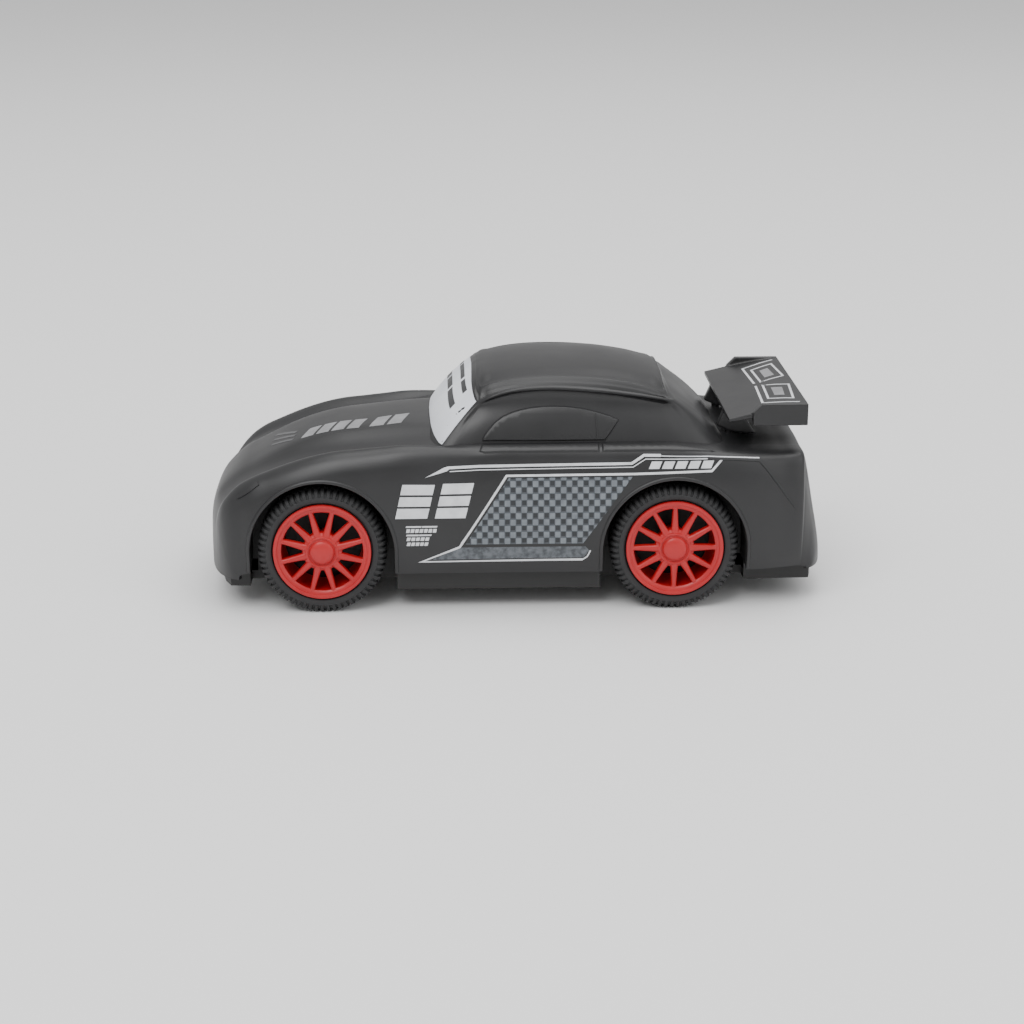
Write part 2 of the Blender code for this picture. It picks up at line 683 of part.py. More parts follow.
def screw(name, seat, tilt):
    """A small pan head screw with a cross recess, seated under its head and tilted about X."""
    profile = [
        (0, SCREW_LENGTH - 1.0), (SCREW_RADIUS * 0.8, SCREW_LENGTH - 1.6),
        (SCREW_RADIUS, SCREW_LENGTH - SCREW_TIP), (SCREW_RADIUS, 0), (SCREW_HEAD_RADIUS, 0),
        (SCREW_HEAD_RADIUS, -SCREW_HEAD * 0.55), (SCREW_HEAD_RADIUS * 0.75, -SCREW_HEAD), (0, -SCREW_HEAD),
    ]
    obj = turned(name, profile, 12, STEEL)
    reach, half = SCREW_HEAD_RADIUS * 0.6, SLOT_WIDTH / 2
    low, high = -SCREW_HEAD - 1, -SCREW_HEAD * 0.5
    slot = box(name + "_slot", (-reach, -half, low), (reach, half, high), None, CUTTERS)
    cross = box(name + "_cross", (-half, -reach, low), (half, reach, high), None, CUTTERS)
    cut(obj, slot)
    cut(obj, cross)
    for item in (obj, slot, cross):
        item.location = Vector(seat) * MM
        item.rotation_euler = (tilt, 0, 0)


def build_screws():
    seat = GROUND_CLEARANCE + SCREW_HEAD + SINK_ROOM / 2
    for name, (x, y) in {**SCREW_PLACES, **MOTOR_SCREW_PLACES}.items():
        screw(name, (x, y, seat), 0)


# ---- wheels -----------------------------------------------------------------------------------


def build_windows(name, side, turn):
    """The gaps between the spokes, as one cutter in the wheel's own axes."""
    bm = bmesh.new()
    inner = HUB_RADIUS + WINDOW_MARGIN
    radii = ((inner, -1), (RING_RADIUS, -1), (RING_RADIUS, 1), (inner, 1))
    for k in range(SPOKES):
        middle = 2 * pi * (k + 0.5) / SPOKES + turn
        corners = []
        for radius, sign in radii:
            angle = middle + sign * (pi / SPOKES - SPOKE_WIDTH / 2 / radius)
            corners.append((radius * cos(angle), side * radius * sin(angle)))
        low = [bm.verts.new((cx * MM, cy * MM, -(TYRE_WIDTH - 2) * MM)) for cx, cy in corners]
        high = [bm.verts.new((cx * MM, cy * MM, WEB_DEPTH * MM)) for cx, cy in corners]
        bm.faces.new(low)
        bm.faces.new(high[::-1])
        for a in range(4):
            b = (a + 1) % 4
            bm.faces.new((low[a], high[a], high[b], low[b]))
    return add(name, mesh_from(bm, name), None, CUTTERS)


def build_wheel(name, x, side, turn):
    """A rim with spokes and the tyre around it; their heights run outwards from the face."""
    back = -TYRE_WIDTH
    tyre_bore = BARREL_RADIUS + FIT
    sidewall = RIM_RADIUS + FIT
    edge = TYRE_RADIUS - 0.35
    tyre_profile = [
        (sidewall, 0.0), (TYRE_RADIUS - SHOULDER, 0.0), (edge, -0.6), (TYRE_RADIUS, -1.7),
        (TYRE_RADIUS, back + 1.7), (edge, back + 0.6), (TYRE_RADIUS - SHOULDER, back), (tyre_bore, back),
        (tyre_bore, -FLANGE - FIT), (sidewall, -FLANGE - FIT),
    ]
    tyre = turned(name + "_tyre", tyre_profile, 24, TYRE_RUBBER)
    bore = AXLE_RADIUS + FIT
    inside = BARREL_RADIUS - 1.0
    flange = RIM_PROUD - FLANGE
    rim_profile = [
        (0.0, 0.9), (CAP_RADIUS, 0.5), (HUB_RADIUS, 0.0), (RING_RADIUS, -0.5), (RIM_RADIUS, RIM_PROUD),
        (RIM_RADIUS, flange), (BARREL_RADIUS, flange), (BARREL_RADIUS, back + 0.4), (inside, back + 0.4),
        (inside, -WEB_DEPTH), (HUB_RADIUS, -WEB_DEPTH), (HUB_RADIUS, back + 1.0), (bore, back + 1.0),
        (bore, -HUB_FACE), (0.0, -HUB_FACE),
    ]
    rim = turned(name + "_rim", rim_profile, 24, RED_PLASTIC)
    windows = build_windows(name + "_windows", side, turn)
    cut(rim, windows)
    for obj in (tyre, rim, windows):
        obj.location = (x * MM, side * WHEEL_FACE_Y * MM, AXLE_Z * MM)
        obj.rotation_euler = (-side * pi / 2, 0, 0)


def build_axle(name, x):
    reach = WHEEL_FACE_Y - HUB_FACE - FIT
    axle = rod(name, (0, -reach, 0), (0, reach, 0), AXLE_RADIUS, STEEL)
    axle.location = (x * MM, 0, AXLE_Z * MM)


# ---- gear train -------------------------------------------------------------------------------


def gear_outline(teeth, thin, phase):
    """An involute gear with a tooth centred on the phase angle; thin is taken off each tooth."""
    pitch = teeth * MODULE / 2
    base = pitch * cos(PRESSURE_ANGLE)
    root = pitch - DEDENDUM * MODULE
    tip = pitch + ADDENDUM * MODULE
    involute = tan(PRESSURE_ANGLE) - PRESSURE_ANGLE

    def half_angle(radius):
        pressure = acos(min(1.0, base / max(radius, base)))
        return (pi * MODULE / 2 - thin) / (2 * pitch) + involute - (tan(pressure) - pressure)

    radii = [root, pitch, tip] if teeth >= FINE_TEETH else [root, max(base, root + 0.05), pitch, tip]
    points = []
    for k in range(teeth):
        middle = phase + 2 * pi * k / teeth
        flank = [(radius, middle - half_angle(radius)) for radius in radii]
        flank += [(radius, middle + half_angle(radius)) for radius in radii[::-1]]
        points += [(r * cos(a), r * sin(a)) for r, a in flank]
    return points


def circle(radius, count):
    return arc((0, 0), radius, 0, 360 * (1 - 1 / count), count)


def place(obj, centre):
    obj.location = (centre[0] * MM, 0, centre[1] * MM)


def build_gears():
    outline = gear_outline(AXLE_TEETH, DRIVE_BACKLASH, pi + CLUTCH_SWING / 2)
    bore = circle(AXLE_RADIUS + FIT, 12)
    gear = plate("axle_gear", [outline, bore], GEAR_PLANE, PINION_PLANE, WHITE_NYLON)
    place(gear, AXLE_CENTRE)
    bore = circle(PIN_RADIUS + FIT, 12)
    large = gear_outline(CLUTCH_TEETH, DRIVE_BACKLASH, pi / CLUTCH_TEETH)
    clutch = plate("clutch_gear", [large, bore], GEAR_PLANE, PINION_PLANE, WHITE_NYLON)
    small = gear_outline(PINION_TEETH, SPRING_BACKLASH, pi / 2)
    pinion = plate("clutch_pinion", [small, bore], PINION_PLANE - 0.4, GREAT_END + 0.2, None, CUTTERS)
    join(clutch, pinion)
    place(clutch, CLUTCH_CENTRE)
    place(pinion, CLUTCH_CENTRE)
    half = ARBOR_SQUARE / 2 + FIT
    square = [(-half, -half), (half, -half), (half, half), (-half, half)]
    outline = gear_outline(GREAT_TEETH, SPRING_BACKLASH, -pi / 2 + pi / GREAT_TEETH)
    great = plate("great_gear", [outline, square], GREAT_PLANE, GREAT_END, WHITE_NYLON)
    place(great, GREAT_CENTRE)
    reach = CASE_HALF_WIDTH - 0.1
    pin = rod(
        "clutch_pin", (-DRIVE_DISTANCE, -reach, 0), (-DRIVE_DISTANCE, reach, 0), PIN_RADIUS, STEEL,
        PARTS, 12,
    )
    place(pin, AXLE_CENTRE)
    arbor = rod("spring_arbor", (0, -reach, 0), (0, reach, 0), ARBOR_RADIUS, STEEL, PARTS, 12)
    half = ARBOR_SQUARE / 2
    block = box(
        "arbor_square", (-half, GREAT_PLANE - FIT, -half),
        (half, CASE_HALF_WIDTH - CASE_WALL - FIT, half), None, CUTTERS,
    )
    join(arbor, block)
    place(arbor, GREAT_CENTRE)
    place(block, GREAT_CENTRE)


def build_spring():
    """A flat strip wound from beside the arbor out to the inside of the case."""
    start = ARBOR_SQUARE / 2 * sqrt(2) + FIT + SPRING_THICK
    end = GREAT_RADIUS - TIP_ROOM
    count = SPRING_TURNS * 16
    path = []
    for k in range(count + 1):
        radius = start + (end - start) * k / count
        angle = 2 * pi * SPRING_TURNS * k / count
        path.append((radius * cos(angle), radius * sin(angle)))
    bm = bmesh.new()
    low = [bm.verts.new((x * MM, SPRING_PLANE * MM, z * MM)) for x, z in path]
    high = [bm.verts.new((x * MM, (SPRING_PLANE + SPRING_WIDTH) * MM, z * MM)) for x, z in path]
    for k in range(count):
        bm.faces.new((low[k], low[k + 1], high[k + 1], high[k]))
    spring = add("mainspring", mesh_from(bm, "mainspring", closed=False), SPRING_STEEL, PARTS, True)
    strip = spring.modifiers.new("strip", "SOLIDIFY")
    strip.thickness = SPRING_THICK * MM
    strip.offset = 0
    place(spring, GREAT_CENTRE)


# ---- motor case -------------------------------------------------------------------------------


def case_outline(inset):
    left = REAR_X - CASE_FRONT + inset
    right = REAR_X + CASE_REAR - inset
    low = CASE_LOW + inset
    high = CASE_HIGH - inset
    upper_right = GREAT_CENTRE[0] + GREAT_RADIUS + 2 * TIP_ROOM - inset
    return [
        (left, low), (right, low), (right, AXLE_Z + CASE_SHOULDER[0]),
        (upper_right, AXLE_Z + CASE_SHOULDER[1]),
        (upper_right, high - CASE_CORNER), (upper_right - CASE_CORNER, high), (left + CASE_CORNER, high),
        (left, high - CASE_CORNER),
    ]


def case_screw_places():
    return {
        "case_screw_lower": (REAR_X - CASE_FRONT + CASE_WALL + 1.3, AXLE_Z - 3.2),
        "case_screw_upper": (REAR_X + 2.2, AXLE_Z + 5.8),
    }


def build_case_half(side, label):
    ends = sorted((side * FIT / 2, side * CASE_HALF_WIDTH))
    case = plate(f"motor_case_{label}", [case_outline(0)], *ends, BLACK_PLASTIC)
    hollow = sorted((-side * 2.0, side * (CASE_HALF_WIDTH - CASE_WALL)))
    cut(case, plate(f"case_{label}_inside", [case_outline(CASE_WALL)], *hollow, None, CUTTERS))
    lug_x = REAR_X - CASE_FRONT - CASE_LUG if side < 0 else REAR_X + CASE_REAR - 0.5
    lug = box(
        f"lug_{label}", (lug_x, ends[0], POST_FOOT),
        (lug_x + CASE_LUG + 0.5, ends[1], POST_FOOT + LUG_HEIGHT), None, CUTTERS,
    )
    join(case, lug)
    name = "motor_screw_front" if side < 0 else "motor_screw_rear"
    x, y = MOTOR_SCREW_PLACES[name]
    hole = rod(
        f"{name}_hole", (x, y, 0), (x, y, POST_FOOT + LUG_SCREW_DEPTH), SCREW_RADIUS + FIT,
        None, CUTTERS, 12,
    )
    cut(case, hole)
    for name, (x, z) in case_screw_places().items():
        column = rod(
            f"{name}_column_{label}", (x, side * FIT / 2, z), (x, side * (CASE_HALF_WIDTH - BOSS_ROOM), z),
            COLUMN_RADIUS, None, CUTTERS, 12,
        )
        join(case, column)
    inner, outer = side * CASE_HALF_WIDTH / 2, side * (CASE_HALF_WIDTH + 2)
    for (x, z), radius, what in ((AXLE_CENTRE, AXLE_RADIUS, "axle"), (GREAT_CENTRE, ARBOR_RADIUS, "arbor")):
        bore = rod(
            f"{what}_bore_{label}", (x, inner, z), (x, outer, z), radius + FIT, None, CUTTERS, 16,
        )
        cut(case, bore)
    slot = slot_outline(PIN_RADIUS + FIT)
    cut(case, plate(f"pin_slot_{label}", [slot], *sorted((inner, outer)), None, CUTTERS))
    for name, (x, z) in case_screw_places().items():
        reach = -CASE_HALF_WIDTH - 2 if side < 0 else CASE_HALF_WIDTH - 1.5
        hole = rod(
            f"{name}_hole_{label}", (x, -side, z), (x, reach, z), SCREW_RADIUS + FIT, None, CUTTERS, 12,
        )
        cut(case, hole)


def build_case():
    for side, label in SIDES:
        build_case_half(side, label)
    for name, (x, z) in case_screw_places().items():
        screw(name, (x, -CASE_HALF_WIDTH - FIT / 2, z), -pi / 2)


def slot_outline(radius):
    """The curved slot that the clutch pin swings in, about the axle."""
    points = []
    start, end = pi, pi + CLUTCH_SWING
    for angle in np.linspace(start, end, 4):
        reach = DRIVE_DISTANCE + radius
        points.append((REAR_X + reach * cos(angle), AXLE_Z + reach * sin(angle)))
    centre = (REAR_X + DRIVE_DISTANCE * cos(end), AXLE_Z + DRIVE_DISTANCE * sin(end))
    turn = end + np.radians([45, 90, 135])
    points += [(centre[0] + radius * cos(a), centre[1] + radius * sin(a)) for a in turn]
    for angle in np.linspace(end, start, 4):
        reach = DRIVE_DISTANCE - radius
        points.append((REAR_X + reach * cos(angle), AXLE_Z + reach * sin(angle)))
    turn = start + np.radians([225, 270, 315])
    points += [(CLUTCH_CENTRE[0] + radius * cos(a), CLUTCH_CENTRE[1] + radius * sin(a)) for a in turn]
    return points


def main():
    tree = build_body()
    build_wing(tree)
    build_chassis()
    build_keeper()
    build_screws()
    for end, x, turn in (("front", FRONT_X, pi / SPOKES), ("rear", REAR_X, 0.0)):
        for side, label in SIDES:
            build_wheel(f"{end}_{label}", x, side, turn)
        build_axle(f"{end}_axle", x)
    build_gears()
    build_spring()
    build_case()


main()
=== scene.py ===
import json
from math import cos, pi, radians, sin

import bmesh
import bpy
import numpy as np
from mathutils import Matrix, Vector
from mathutils.bvhtree import BVHTree
from mathutils.geometry import delaunay_2d_cdt


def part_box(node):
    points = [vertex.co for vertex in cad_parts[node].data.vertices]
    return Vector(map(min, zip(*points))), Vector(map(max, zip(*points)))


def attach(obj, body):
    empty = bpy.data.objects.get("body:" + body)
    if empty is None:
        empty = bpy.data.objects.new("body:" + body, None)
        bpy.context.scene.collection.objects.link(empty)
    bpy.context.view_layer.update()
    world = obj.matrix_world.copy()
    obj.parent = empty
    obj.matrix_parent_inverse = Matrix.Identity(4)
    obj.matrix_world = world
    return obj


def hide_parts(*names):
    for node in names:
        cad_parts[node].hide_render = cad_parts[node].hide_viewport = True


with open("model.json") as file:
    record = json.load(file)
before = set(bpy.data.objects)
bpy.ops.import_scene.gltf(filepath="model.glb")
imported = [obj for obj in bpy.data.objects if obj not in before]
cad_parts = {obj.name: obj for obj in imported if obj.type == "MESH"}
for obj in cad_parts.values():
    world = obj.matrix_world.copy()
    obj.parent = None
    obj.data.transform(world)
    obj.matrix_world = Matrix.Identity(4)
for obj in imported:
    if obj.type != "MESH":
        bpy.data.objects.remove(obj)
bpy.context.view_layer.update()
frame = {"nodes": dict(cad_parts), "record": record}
mm = 0.001
diagonal = 0.7071
leastArea = 0.0008  # twice the area of the smallest triangle kept, in square mm
carBody = "car"


def span(node):
    low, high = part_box(node)
    return np.array(low) / mm, np.array(high) / mm


bodyLow, bodyHigh = span("body_shell")
halfLength = (bodyHigh[0] - bodyLow[0]) / 2
halfWidth = (bodyHigh[1] - bodyLow[1]) / 2
roofTop = bodyHigh[2]
frontLow, frontHigh = span("front_left_tyre")
rearLow, rearHigh = span("rear_left_tyre")
frontX = (frontLow[0] + frontHigh[0]) / 2
rearX = (rearLow[0] + rearHigh[0]) / 2
tyreRadius = (frontHigh[2] - frontLow[2]) / 2
axleZ = (frontLow[2] + frontHigh[2]) / 2
wheelFace = -frontLow[1]
tyreWidth = frontHigh[1] - frontLow[1]


def newMaterial(name):
    material = bpy.data.materials.new(name)
    material.use_nodes = True
    nodes = material.node_tree.nodes
    return material, nodes, material.node_tree.links, nodes["Principled BSDF"]


def addNoise(nodes, links, scale, detail=3.0, stretch=(1, 1, 1), coords=None):
    texture = nodes.new("ShaderNodeTexNoise")
    texture.inputs["Scale"].default_value = scale
    texture.inputs["Detail"].default_value = detail
    mapping = nodes.new("ShaderNodeMapping")
    mapping.inputs["Scale"].default_value = stretch
    source = coords or nodes.new("ShaderNodeTexCoord")
    links.new(source.outputs["Object"], mapping.inputs["Vector"])
    links.new(mapping.outputs["Vector"], texture.inputs["Vector"])
    return texture


def addRamp(nodes, links, source, low, high, start=0.35, end=0.65):
    ramp = nodes.new("ShaderNodeValToRGB")
    for element, place, tone in zip(ramp.color_ramp.elements, (start, end), (low, high)):
        element.position = place
        element.color = (*tone, 1) if hasattr(tone, "__len__") else (tone, tone, tone, 1)
    links.new(source, ramp.inputs["Fac"])
    return ramp


def addBump(nodes, links, shader, height, strength, distance):
    bump = nodes.new("ShaderNodeBump")
    bump.inputs["Strength"].default_value = strength
    bump.inputs["Distance"].default_value = distance
    links.new(height, bump.inputs["Height"])
    links.new(bump.outputs["Normal"], shader.inputs["Normal"])


# one moulded or printed plastic: grain size in 1/m, roughness from low to high, and a second tone
def plasticMaterial(name, color, worn, roughLow, roughHigh, grain=5200, grainDepth=0.000012, blotch=70):
    material, nodes, links, shader = newMaterial(name)
    coords = nodes.new("ShaderNodeTexCoord")
    broad = addNoise(nodes, links, blotch, 4.0, (1, 1, 1), coords)
    fine = addNoise(nodes, links, grain, 2.0, (1, 1, 1), coords)
    tint = addRamp(nodes, links, broad.outputs["Fac"], color, worn)
    links.new(tint.outputs["Color"], shader.inputs["Base Color"])
    rough = addRamp(nodes, links, broad.outputs["Fac"], roughLow, roughHigh, 0.3, 0.7)
    links.new(rough.outputs["Color"], shader.inputs["Roughness"])
    addBump(nodes, links, shader, fine.outputs["Fac"], 0.35, grainDepth)
    shader.inputs["Specular IOR Level"].default_value = 0.5
    return material


def metalMaterial(name, color, rough, brush=(1, 30, 30)):
    material, nodes, links, shader = newMaterial(name)
    streak = addNoise(nodes, links, 900, 4.0, brush)
    tint = addRamp(nodes, links, streak.outputs["Fac"], [c * 0.8 for c in color], color)
    links.new(tint.outputs["Color"], shader.inputs["Base Color"])
    shader.inputs["Metallic"].default_value = 1.0
    roughRamp = addRamp(nodes, links, streak.outputs["Fac"], rough, rough + 0.15)
    links.new(roughRamp.outputs["Color"], shader.inputs["Roughness"])
    addBump(nodes, links, shader, streak.outputs["Fac"], 0.2, 0.00001)
    return material


bodyPlastic = plasticMaterial("body_plastic", (0.009, 0.009, 0.0097), (0.0125, 0.0125, 0.0135), 0.37, 0.46)
chassisPlastic = plasticMaterial("chassis_plastic", (0.008, 0.008, 0.008), (0.012, 0.012, 0.012), 0.5, 0.62)
rimPlastic = plasticMaterial(
    "rim_plastic", (0.37, 0.0065, 0.009), (0.42, 0.010, 0.012), 0.34, 0.44, blotch=160)
tyreRubber = plasticMaterial(
    "tyre_rubber", (0.010, 0.010, 0.011), (0.019, 0.019, 0.020), 0.6, 0.76, 2600, 0.00003, 260)
silverPrint = plasticMaterial(
    "silver_print", (0.56, 0.57, 0.59), (0.66, 0.67, 0.69), 0.34, 0.46, 6000, 0.000006, 400)
screenPrint = plasticMaterial(
    "screen_print", (0.62, 0.64, 0.69), (0.74, 0.76, 0.80), 0.30, 0.42, 6000, 0.000006, 60)
inkPrint = plasticMaterial("ink_print", (0.016, 0.016, 0.018), (0.022, 0.022, 0.024), 0.35, 0.5)
hammerPrint = plasticMaterial(
    "hammer_print", (0.040, 0.046, 0.053), (0.115, 0.126, 0.14), 0.45, 0.6, 1400, 0.00006, 900)
checkPale = plasticMaterial(
    "check_pale", (0.115, 0.13, 0.148), (0.165, 0.185, 0.205), 0.36, 0.5, 1800, 0.00003, 500)
checkMiddle = plasticMaterial(
    "check_middle", (0.040, 0.047, 0.055), (0.062, 0.070, 0.080), 0.4, 0.5, 1800, 0.00003, 600)
slashPrint = plasticMaterial(
    "slash_print", (0.05, 0.05, 0.052), (0.08, 0.08, 0.083), 0.36, 0.48, 6000, 0.000006, 200)
greyPrint = plasticMaterial(
    "grey_print", (0.19, 0.19, 0.197), (0.26, 0.26, 0.27), 0.36, 0.48, 6000, 0.000006, 200)
checkDark = plasticMaterial(
    "check_dark", (0.010, 0.012, 0.015), (0.018, 0.021, 0.025), 0.4, 0.55, 1800, 0.00003, 700)
whiteNylon = plasticMaterial(
    "white_nylon", (0.70, 0.69, 0.65), (0.76, 0.75, 0.71), 0.42, 0.52, 4000, 0.00001, 300)
steelMetal = metalMaterial("steel_metal", (0.62, 0.62, 0.63), 0.25)
springMetal = metalMaterial("spring_metal", (0.32, 0.34, 0.39), 0.3)


def objectFor(name, mesh, material, smooth):
    obj = bpy.data.objects.new(name, mesh)
    bpy.context.scene.collection.objects.link(obj)
    mesh.materials.append(material)
    mesh.shade_smooth()
    if smooth:
        mesh.set_sharp_from_angle(angle=radians(smooth))
    return obj


def makeObject(name, bm, material, weld=True, smooth=40):
    if weld:
        bmesh.ops.remove_doubles(bm, verts=bm.verts, dist=0.000002)
    mesh = bpy.data.meshes.new(name)
    bm.to_mesh(mesh)
    bm.free()
    return objectFor(name, mesh, material, smooth)


def meshFromArrays(name, points, faces, material, smooth=40):
    mesh = bpy.data.meshes.new(name)
    mesh.from_pydata((np.asarray(points, float) * mm).tolist(), [], [list(map(int, f)) for f in faces])
    mesh.update()
    return objectFor(name, mesh, material, smooth)


# turns all faces outwards, or towards a direction where one is given
def faceOutwards(obj, towards=None, sharp=None, recalculate=True):
    bm = bmesh.new()
    bm.from_mesh(obj.data)
    if recalculate:
        bmesh.ops.recalc_face_normals(bm, faces=bm.faces)
    if towards is not None and sum(np.dot(f.normal, towards) * f.calc_area() for f in bm.faces) < 0:
        bmesh.ops.reverse_faces(bm, faces=bm.faces)
    bm.to_mesh(obj.data)
    bm.free()
    obj.data.shade_smooth()
    if sharp:
        obj.data.set_sharp_from_angle(angle=radians(sharp))


def onBody(obj):
    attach(obj, carBody)


def gridFaces(rows, columns, closed=False):
    faces = []
    for i in range(rows - 1):
        for j in range(columns if closed else columns - 1):
            k = (j + 1) % columns
            faces.append((i * columns + j, i * columns + k, (i + 1) * columns + k, (i + 1) * columns + j))
    return faces


def curveThrough(keys, shares):
    xs, ys = np.array(keys, float).T
    slope = np.diff(ys) / np.diff(xs)
    tangent = np.concatenate([slope[:1], (slope[:-1] + slope[1:]) / 2, slope[-1:]])
    for k in range(1, len(xs) - 1):
        if slope[k - 1] * slope[k] <= 0:
            tangent[k] = 0
        else:
            tangent[k] = np.sign(slope[k]) * min(abs(tangent[k]), 3 * min(abs(slope[k - 1]), abs(slope[k])))
    shares = np.clip(np.asarray(shares, float), xs[0], xs[-1])
    k = np.clip(np.searchsorted(xs, shares, side="right") - 1, 0, len(xs) - 2)
    width = xs[k + 1] - xs[k]
    t = (shares - xs[k]) / width
    first = ys[k] * (1 + 2 * t) * (1 - t) ** 2 + tangent[k] * width * t * (1 - t) ** 2
    return first + ys[k + 1] * (3 - 2 * t) * t * t + tangent[k + 1] * width * t * t * (t - 1)


# a smooth curve through the points along one axis of a grid of points, with the same samples in every span
def smoothThrough(points, perSpan):
    points = np.asarray(points, float)  # (count, others, 3)
    step = np.linalg.norm(np.diff(points, axis=0), axis=2)
    step = np.maximum(step, 1e-4) ** 0.7
    slope = np.diff(points, axis=0) / step[..., None]
    tangent = np.empty_like(points)
    tangent[0], tangent[-1] = slope[0], slope[-1]
    before, after = step[:-1, :, None], step[1:, :, None]
    tangent[1:-1] = (slope[:-1] * after + slope[1:] * before) / (before + after)
    made = []
    for k in range(len(points) - 1):
        count = perSpan[k] if hasattr(perSpan, "__len__") else perSpan
        for t in np.arange(count) / count:
            h = step[k][:, None]
            value = points[k] * (1 + 2 * t) * (1 - t) ** 2 + tangent[k] * h * t * (1 - t) ** 2
            made.append(value + points[k + 1] * (3 - 2 * t) * t * t + tangent[k + 1] * h * t * t * (t - 1))
    made.append(points[-1])
    return np.array(made)


body = {
    "belt": 37.5,
    "sill": 9.2,
    "noseLip": 7.6,
    "tailLip": 8.6,
    "noseDepth": 10.6,
    "tailDepth": 6.6,
    "beltDrop": 3.6,
    "wall": 1.3,
    "sharp": 38,
    "crestZ": [
        (-0.85, -7.0), (-0.744, -3.8), (-0.61, -1.0), (-0.475, 0.1), (-0.347, 0.9), (-0.22, 0.5),
        (-0.12, 0.0), (0.28, 0.0), (0.47, -0.1), (0.64, -1.1), (0.91, -2.3)],
    "crestY": [
        (-0.85, 0.80), (-0.69, 0.825), (-0.55, 0.84), (-0.42, 0.85), (-0.33, 0.865), (-0.24, 0.89),
        (-0.15, 0.91), (-0.08, 0.925), (0.47, 0.927), (0.64, 0.893), (0.91, 0.815)],
    "ledgeZ": [
        (-0.85, -8.1), (-0.744, -5.2), (-0.61, -2.7), (-0.475, -1.4), (-0.347, -0.5), (-0.22, 0.4),
        (-0.11, 0.8), (0.28, 0.9), (0.47, 0.7), (0.64, -0.6), (0.91, -1.9)],
    "ledgeY": [
        (-0.85, 0.66), (-0.69, 0.665), (-0.55, 0.68), (-0.42, 0.71), (-0.33, 0.76), (-0.24, 0.825),
        (-0.13, 0.855), (0.28, 0.845), (0.47, 0.82), (0.64, 0.747), (0.91, 0.65)],
    "width": [
        (-0.85, 0.945), (-0.71, 0.99), (-0.57, 1.0), (0.0, 0.992), (0.5, 1.0), (0.74, 0.987),
        (0.91, 0.9)],
    "hoodZ": [
        (-0.85, -6.5), (-0.74, -2.4), (-0.61, 0.7), (-0.47, 2.0), (-0.32, 2.6), (-0.1, 1.5), (0.45, 0.4),
        (0.675, -0.1), (0.91, -1.5)],
    "stations": [
        -0.85, -0.79, -0.72, -0.65, -0.58, -0.51, -0.44, -0.37, -0.31, -0.25, -0.19, -0.13, -0.07, 0.0,
        0.1, 0.2, 0.3, 0.4, 0.48, 0.54, 0.60, 0.66, 0.72, 0.78, 0.84, 0.907],
    "side": [(1.6, 0.0), (0.75, 0.14), (0.2, 0.34), (0.0, 0.52), (0.12, 0.74), (0.45, 0.9), (0.95, 1.0)],
    "shoulder": 0.9,
    "hood": [
        (0.93, -0.03), (0.86, 0.03), (0.79, 0.14), (0.72, 0.32), (0.65, 0.55), (0.58, 0.75),
        (0.50, 0.88), (0.38, 0.95), (0.2, 0.99), (0.0, 1.0)],
    "noseRows": [
        (0.32, 0.2, 0.073), (0.64, 0.4, 0.19), (0.84, 0.6, 0.30), (0.96, 0.78, 0.45), (1.0, 0.9, 0.70),
        (1.0, 1.0, 1.0)],
    "tailRows": [
        (0.09, 0.15, 0.03), (0.22, 0.3, 0.12), (0.38, 0.48, 0.26), (0.56, 0.66, 0.43), (0.80, 0.84, 0.66),
        (0.97, 0.95, 0.88), (1.0, 1.0, 1.0)],
    "lipPower": 2.6,
    "lengthSamples": 8,
    "sectionSamples": 5,
}


def bodySection(share):
    x = share * halfLength
    half = curveThrough(body["width"], share) * halfWidth
    crest = body["belt"] + curveThrough(body["crestZ"], share)
    belt = crest - body["beltDrop"]
    points = [(x, half - inset, body["sill"] + up * (belt - body["sill"])) for inset, up in body["side"]]
    crestY = curveThrough(body["crestY"], share) * halfWidth
    points.append((x, crestY + (half - body["shoulder"] - crestY) * 0.55, belt + body["beltDrop"] * 0.72))
    points.append((x, crestY, crest))
    ledgeY = curveThrough(body["ledgeY"], share) * halfWidth
    ledgeZ = body["belt"] + curveThrough(body["ledgeZ"], share)
    points.append((x, ledgeY, ledgeZ))
    hood = body["belt"] + curveThrough(body["hoodZ"], share)
    points += [(x, ledgeY * u, ledgeZ + (hood - ledgeZ) * v) for u, v in body["hood"]]
    return np.array(points, float)


def lipLine(last, depth, height):
    end = last[0][0]
    half = last[0][1] + 0.4
    share = last[:, 1] / last[:, 1].max()
    count = len(body["side"]) + 2
    share[:count] = np.linspace(0.985, share[count] + 0.05, count)
    share = np.clip(share, 0, 0.985)
    reach = (1 - share ** body["lipPower"]) ** (1 / body["lipPower"])
    return np.stack([end + np.sign(end) * depth * reach, share * half, np.full(len(share), height)], 1)


def capRows(last, edge, rows):
    return [last + (edge - last) * np.array(row) for row in rows]


def bodyGrid():
    main = [bodySection(share) for share in body["stations"]]
    nose = lipLine(main[0], body["noseDepth"], body["noseLip"])
    tail = lipLine(main[-1], body["tailDepth"], body["tailLip"])
    rows = capRows(main[0], nose, body["noseRows"])[::-1] + main + capRows(main[-1], tail, body["tailRows"])
    grid = smoothThrough(np.array(rows), body["lengthSamples"])
    grid = smoothThrough(grid.transpose(1, 0, 2), body["sectionSamples"]).transpose(1, 0, 2)
    low, high = grid[..., 0].min(), grid[..., 0].max()
    grid[..., 0] = (grid[..., 0] - low) / (high - low) * 2 * halfLength - halfLength
    grid[..., 1] *= halfWidth / grid[..., 1].max()
    return grid


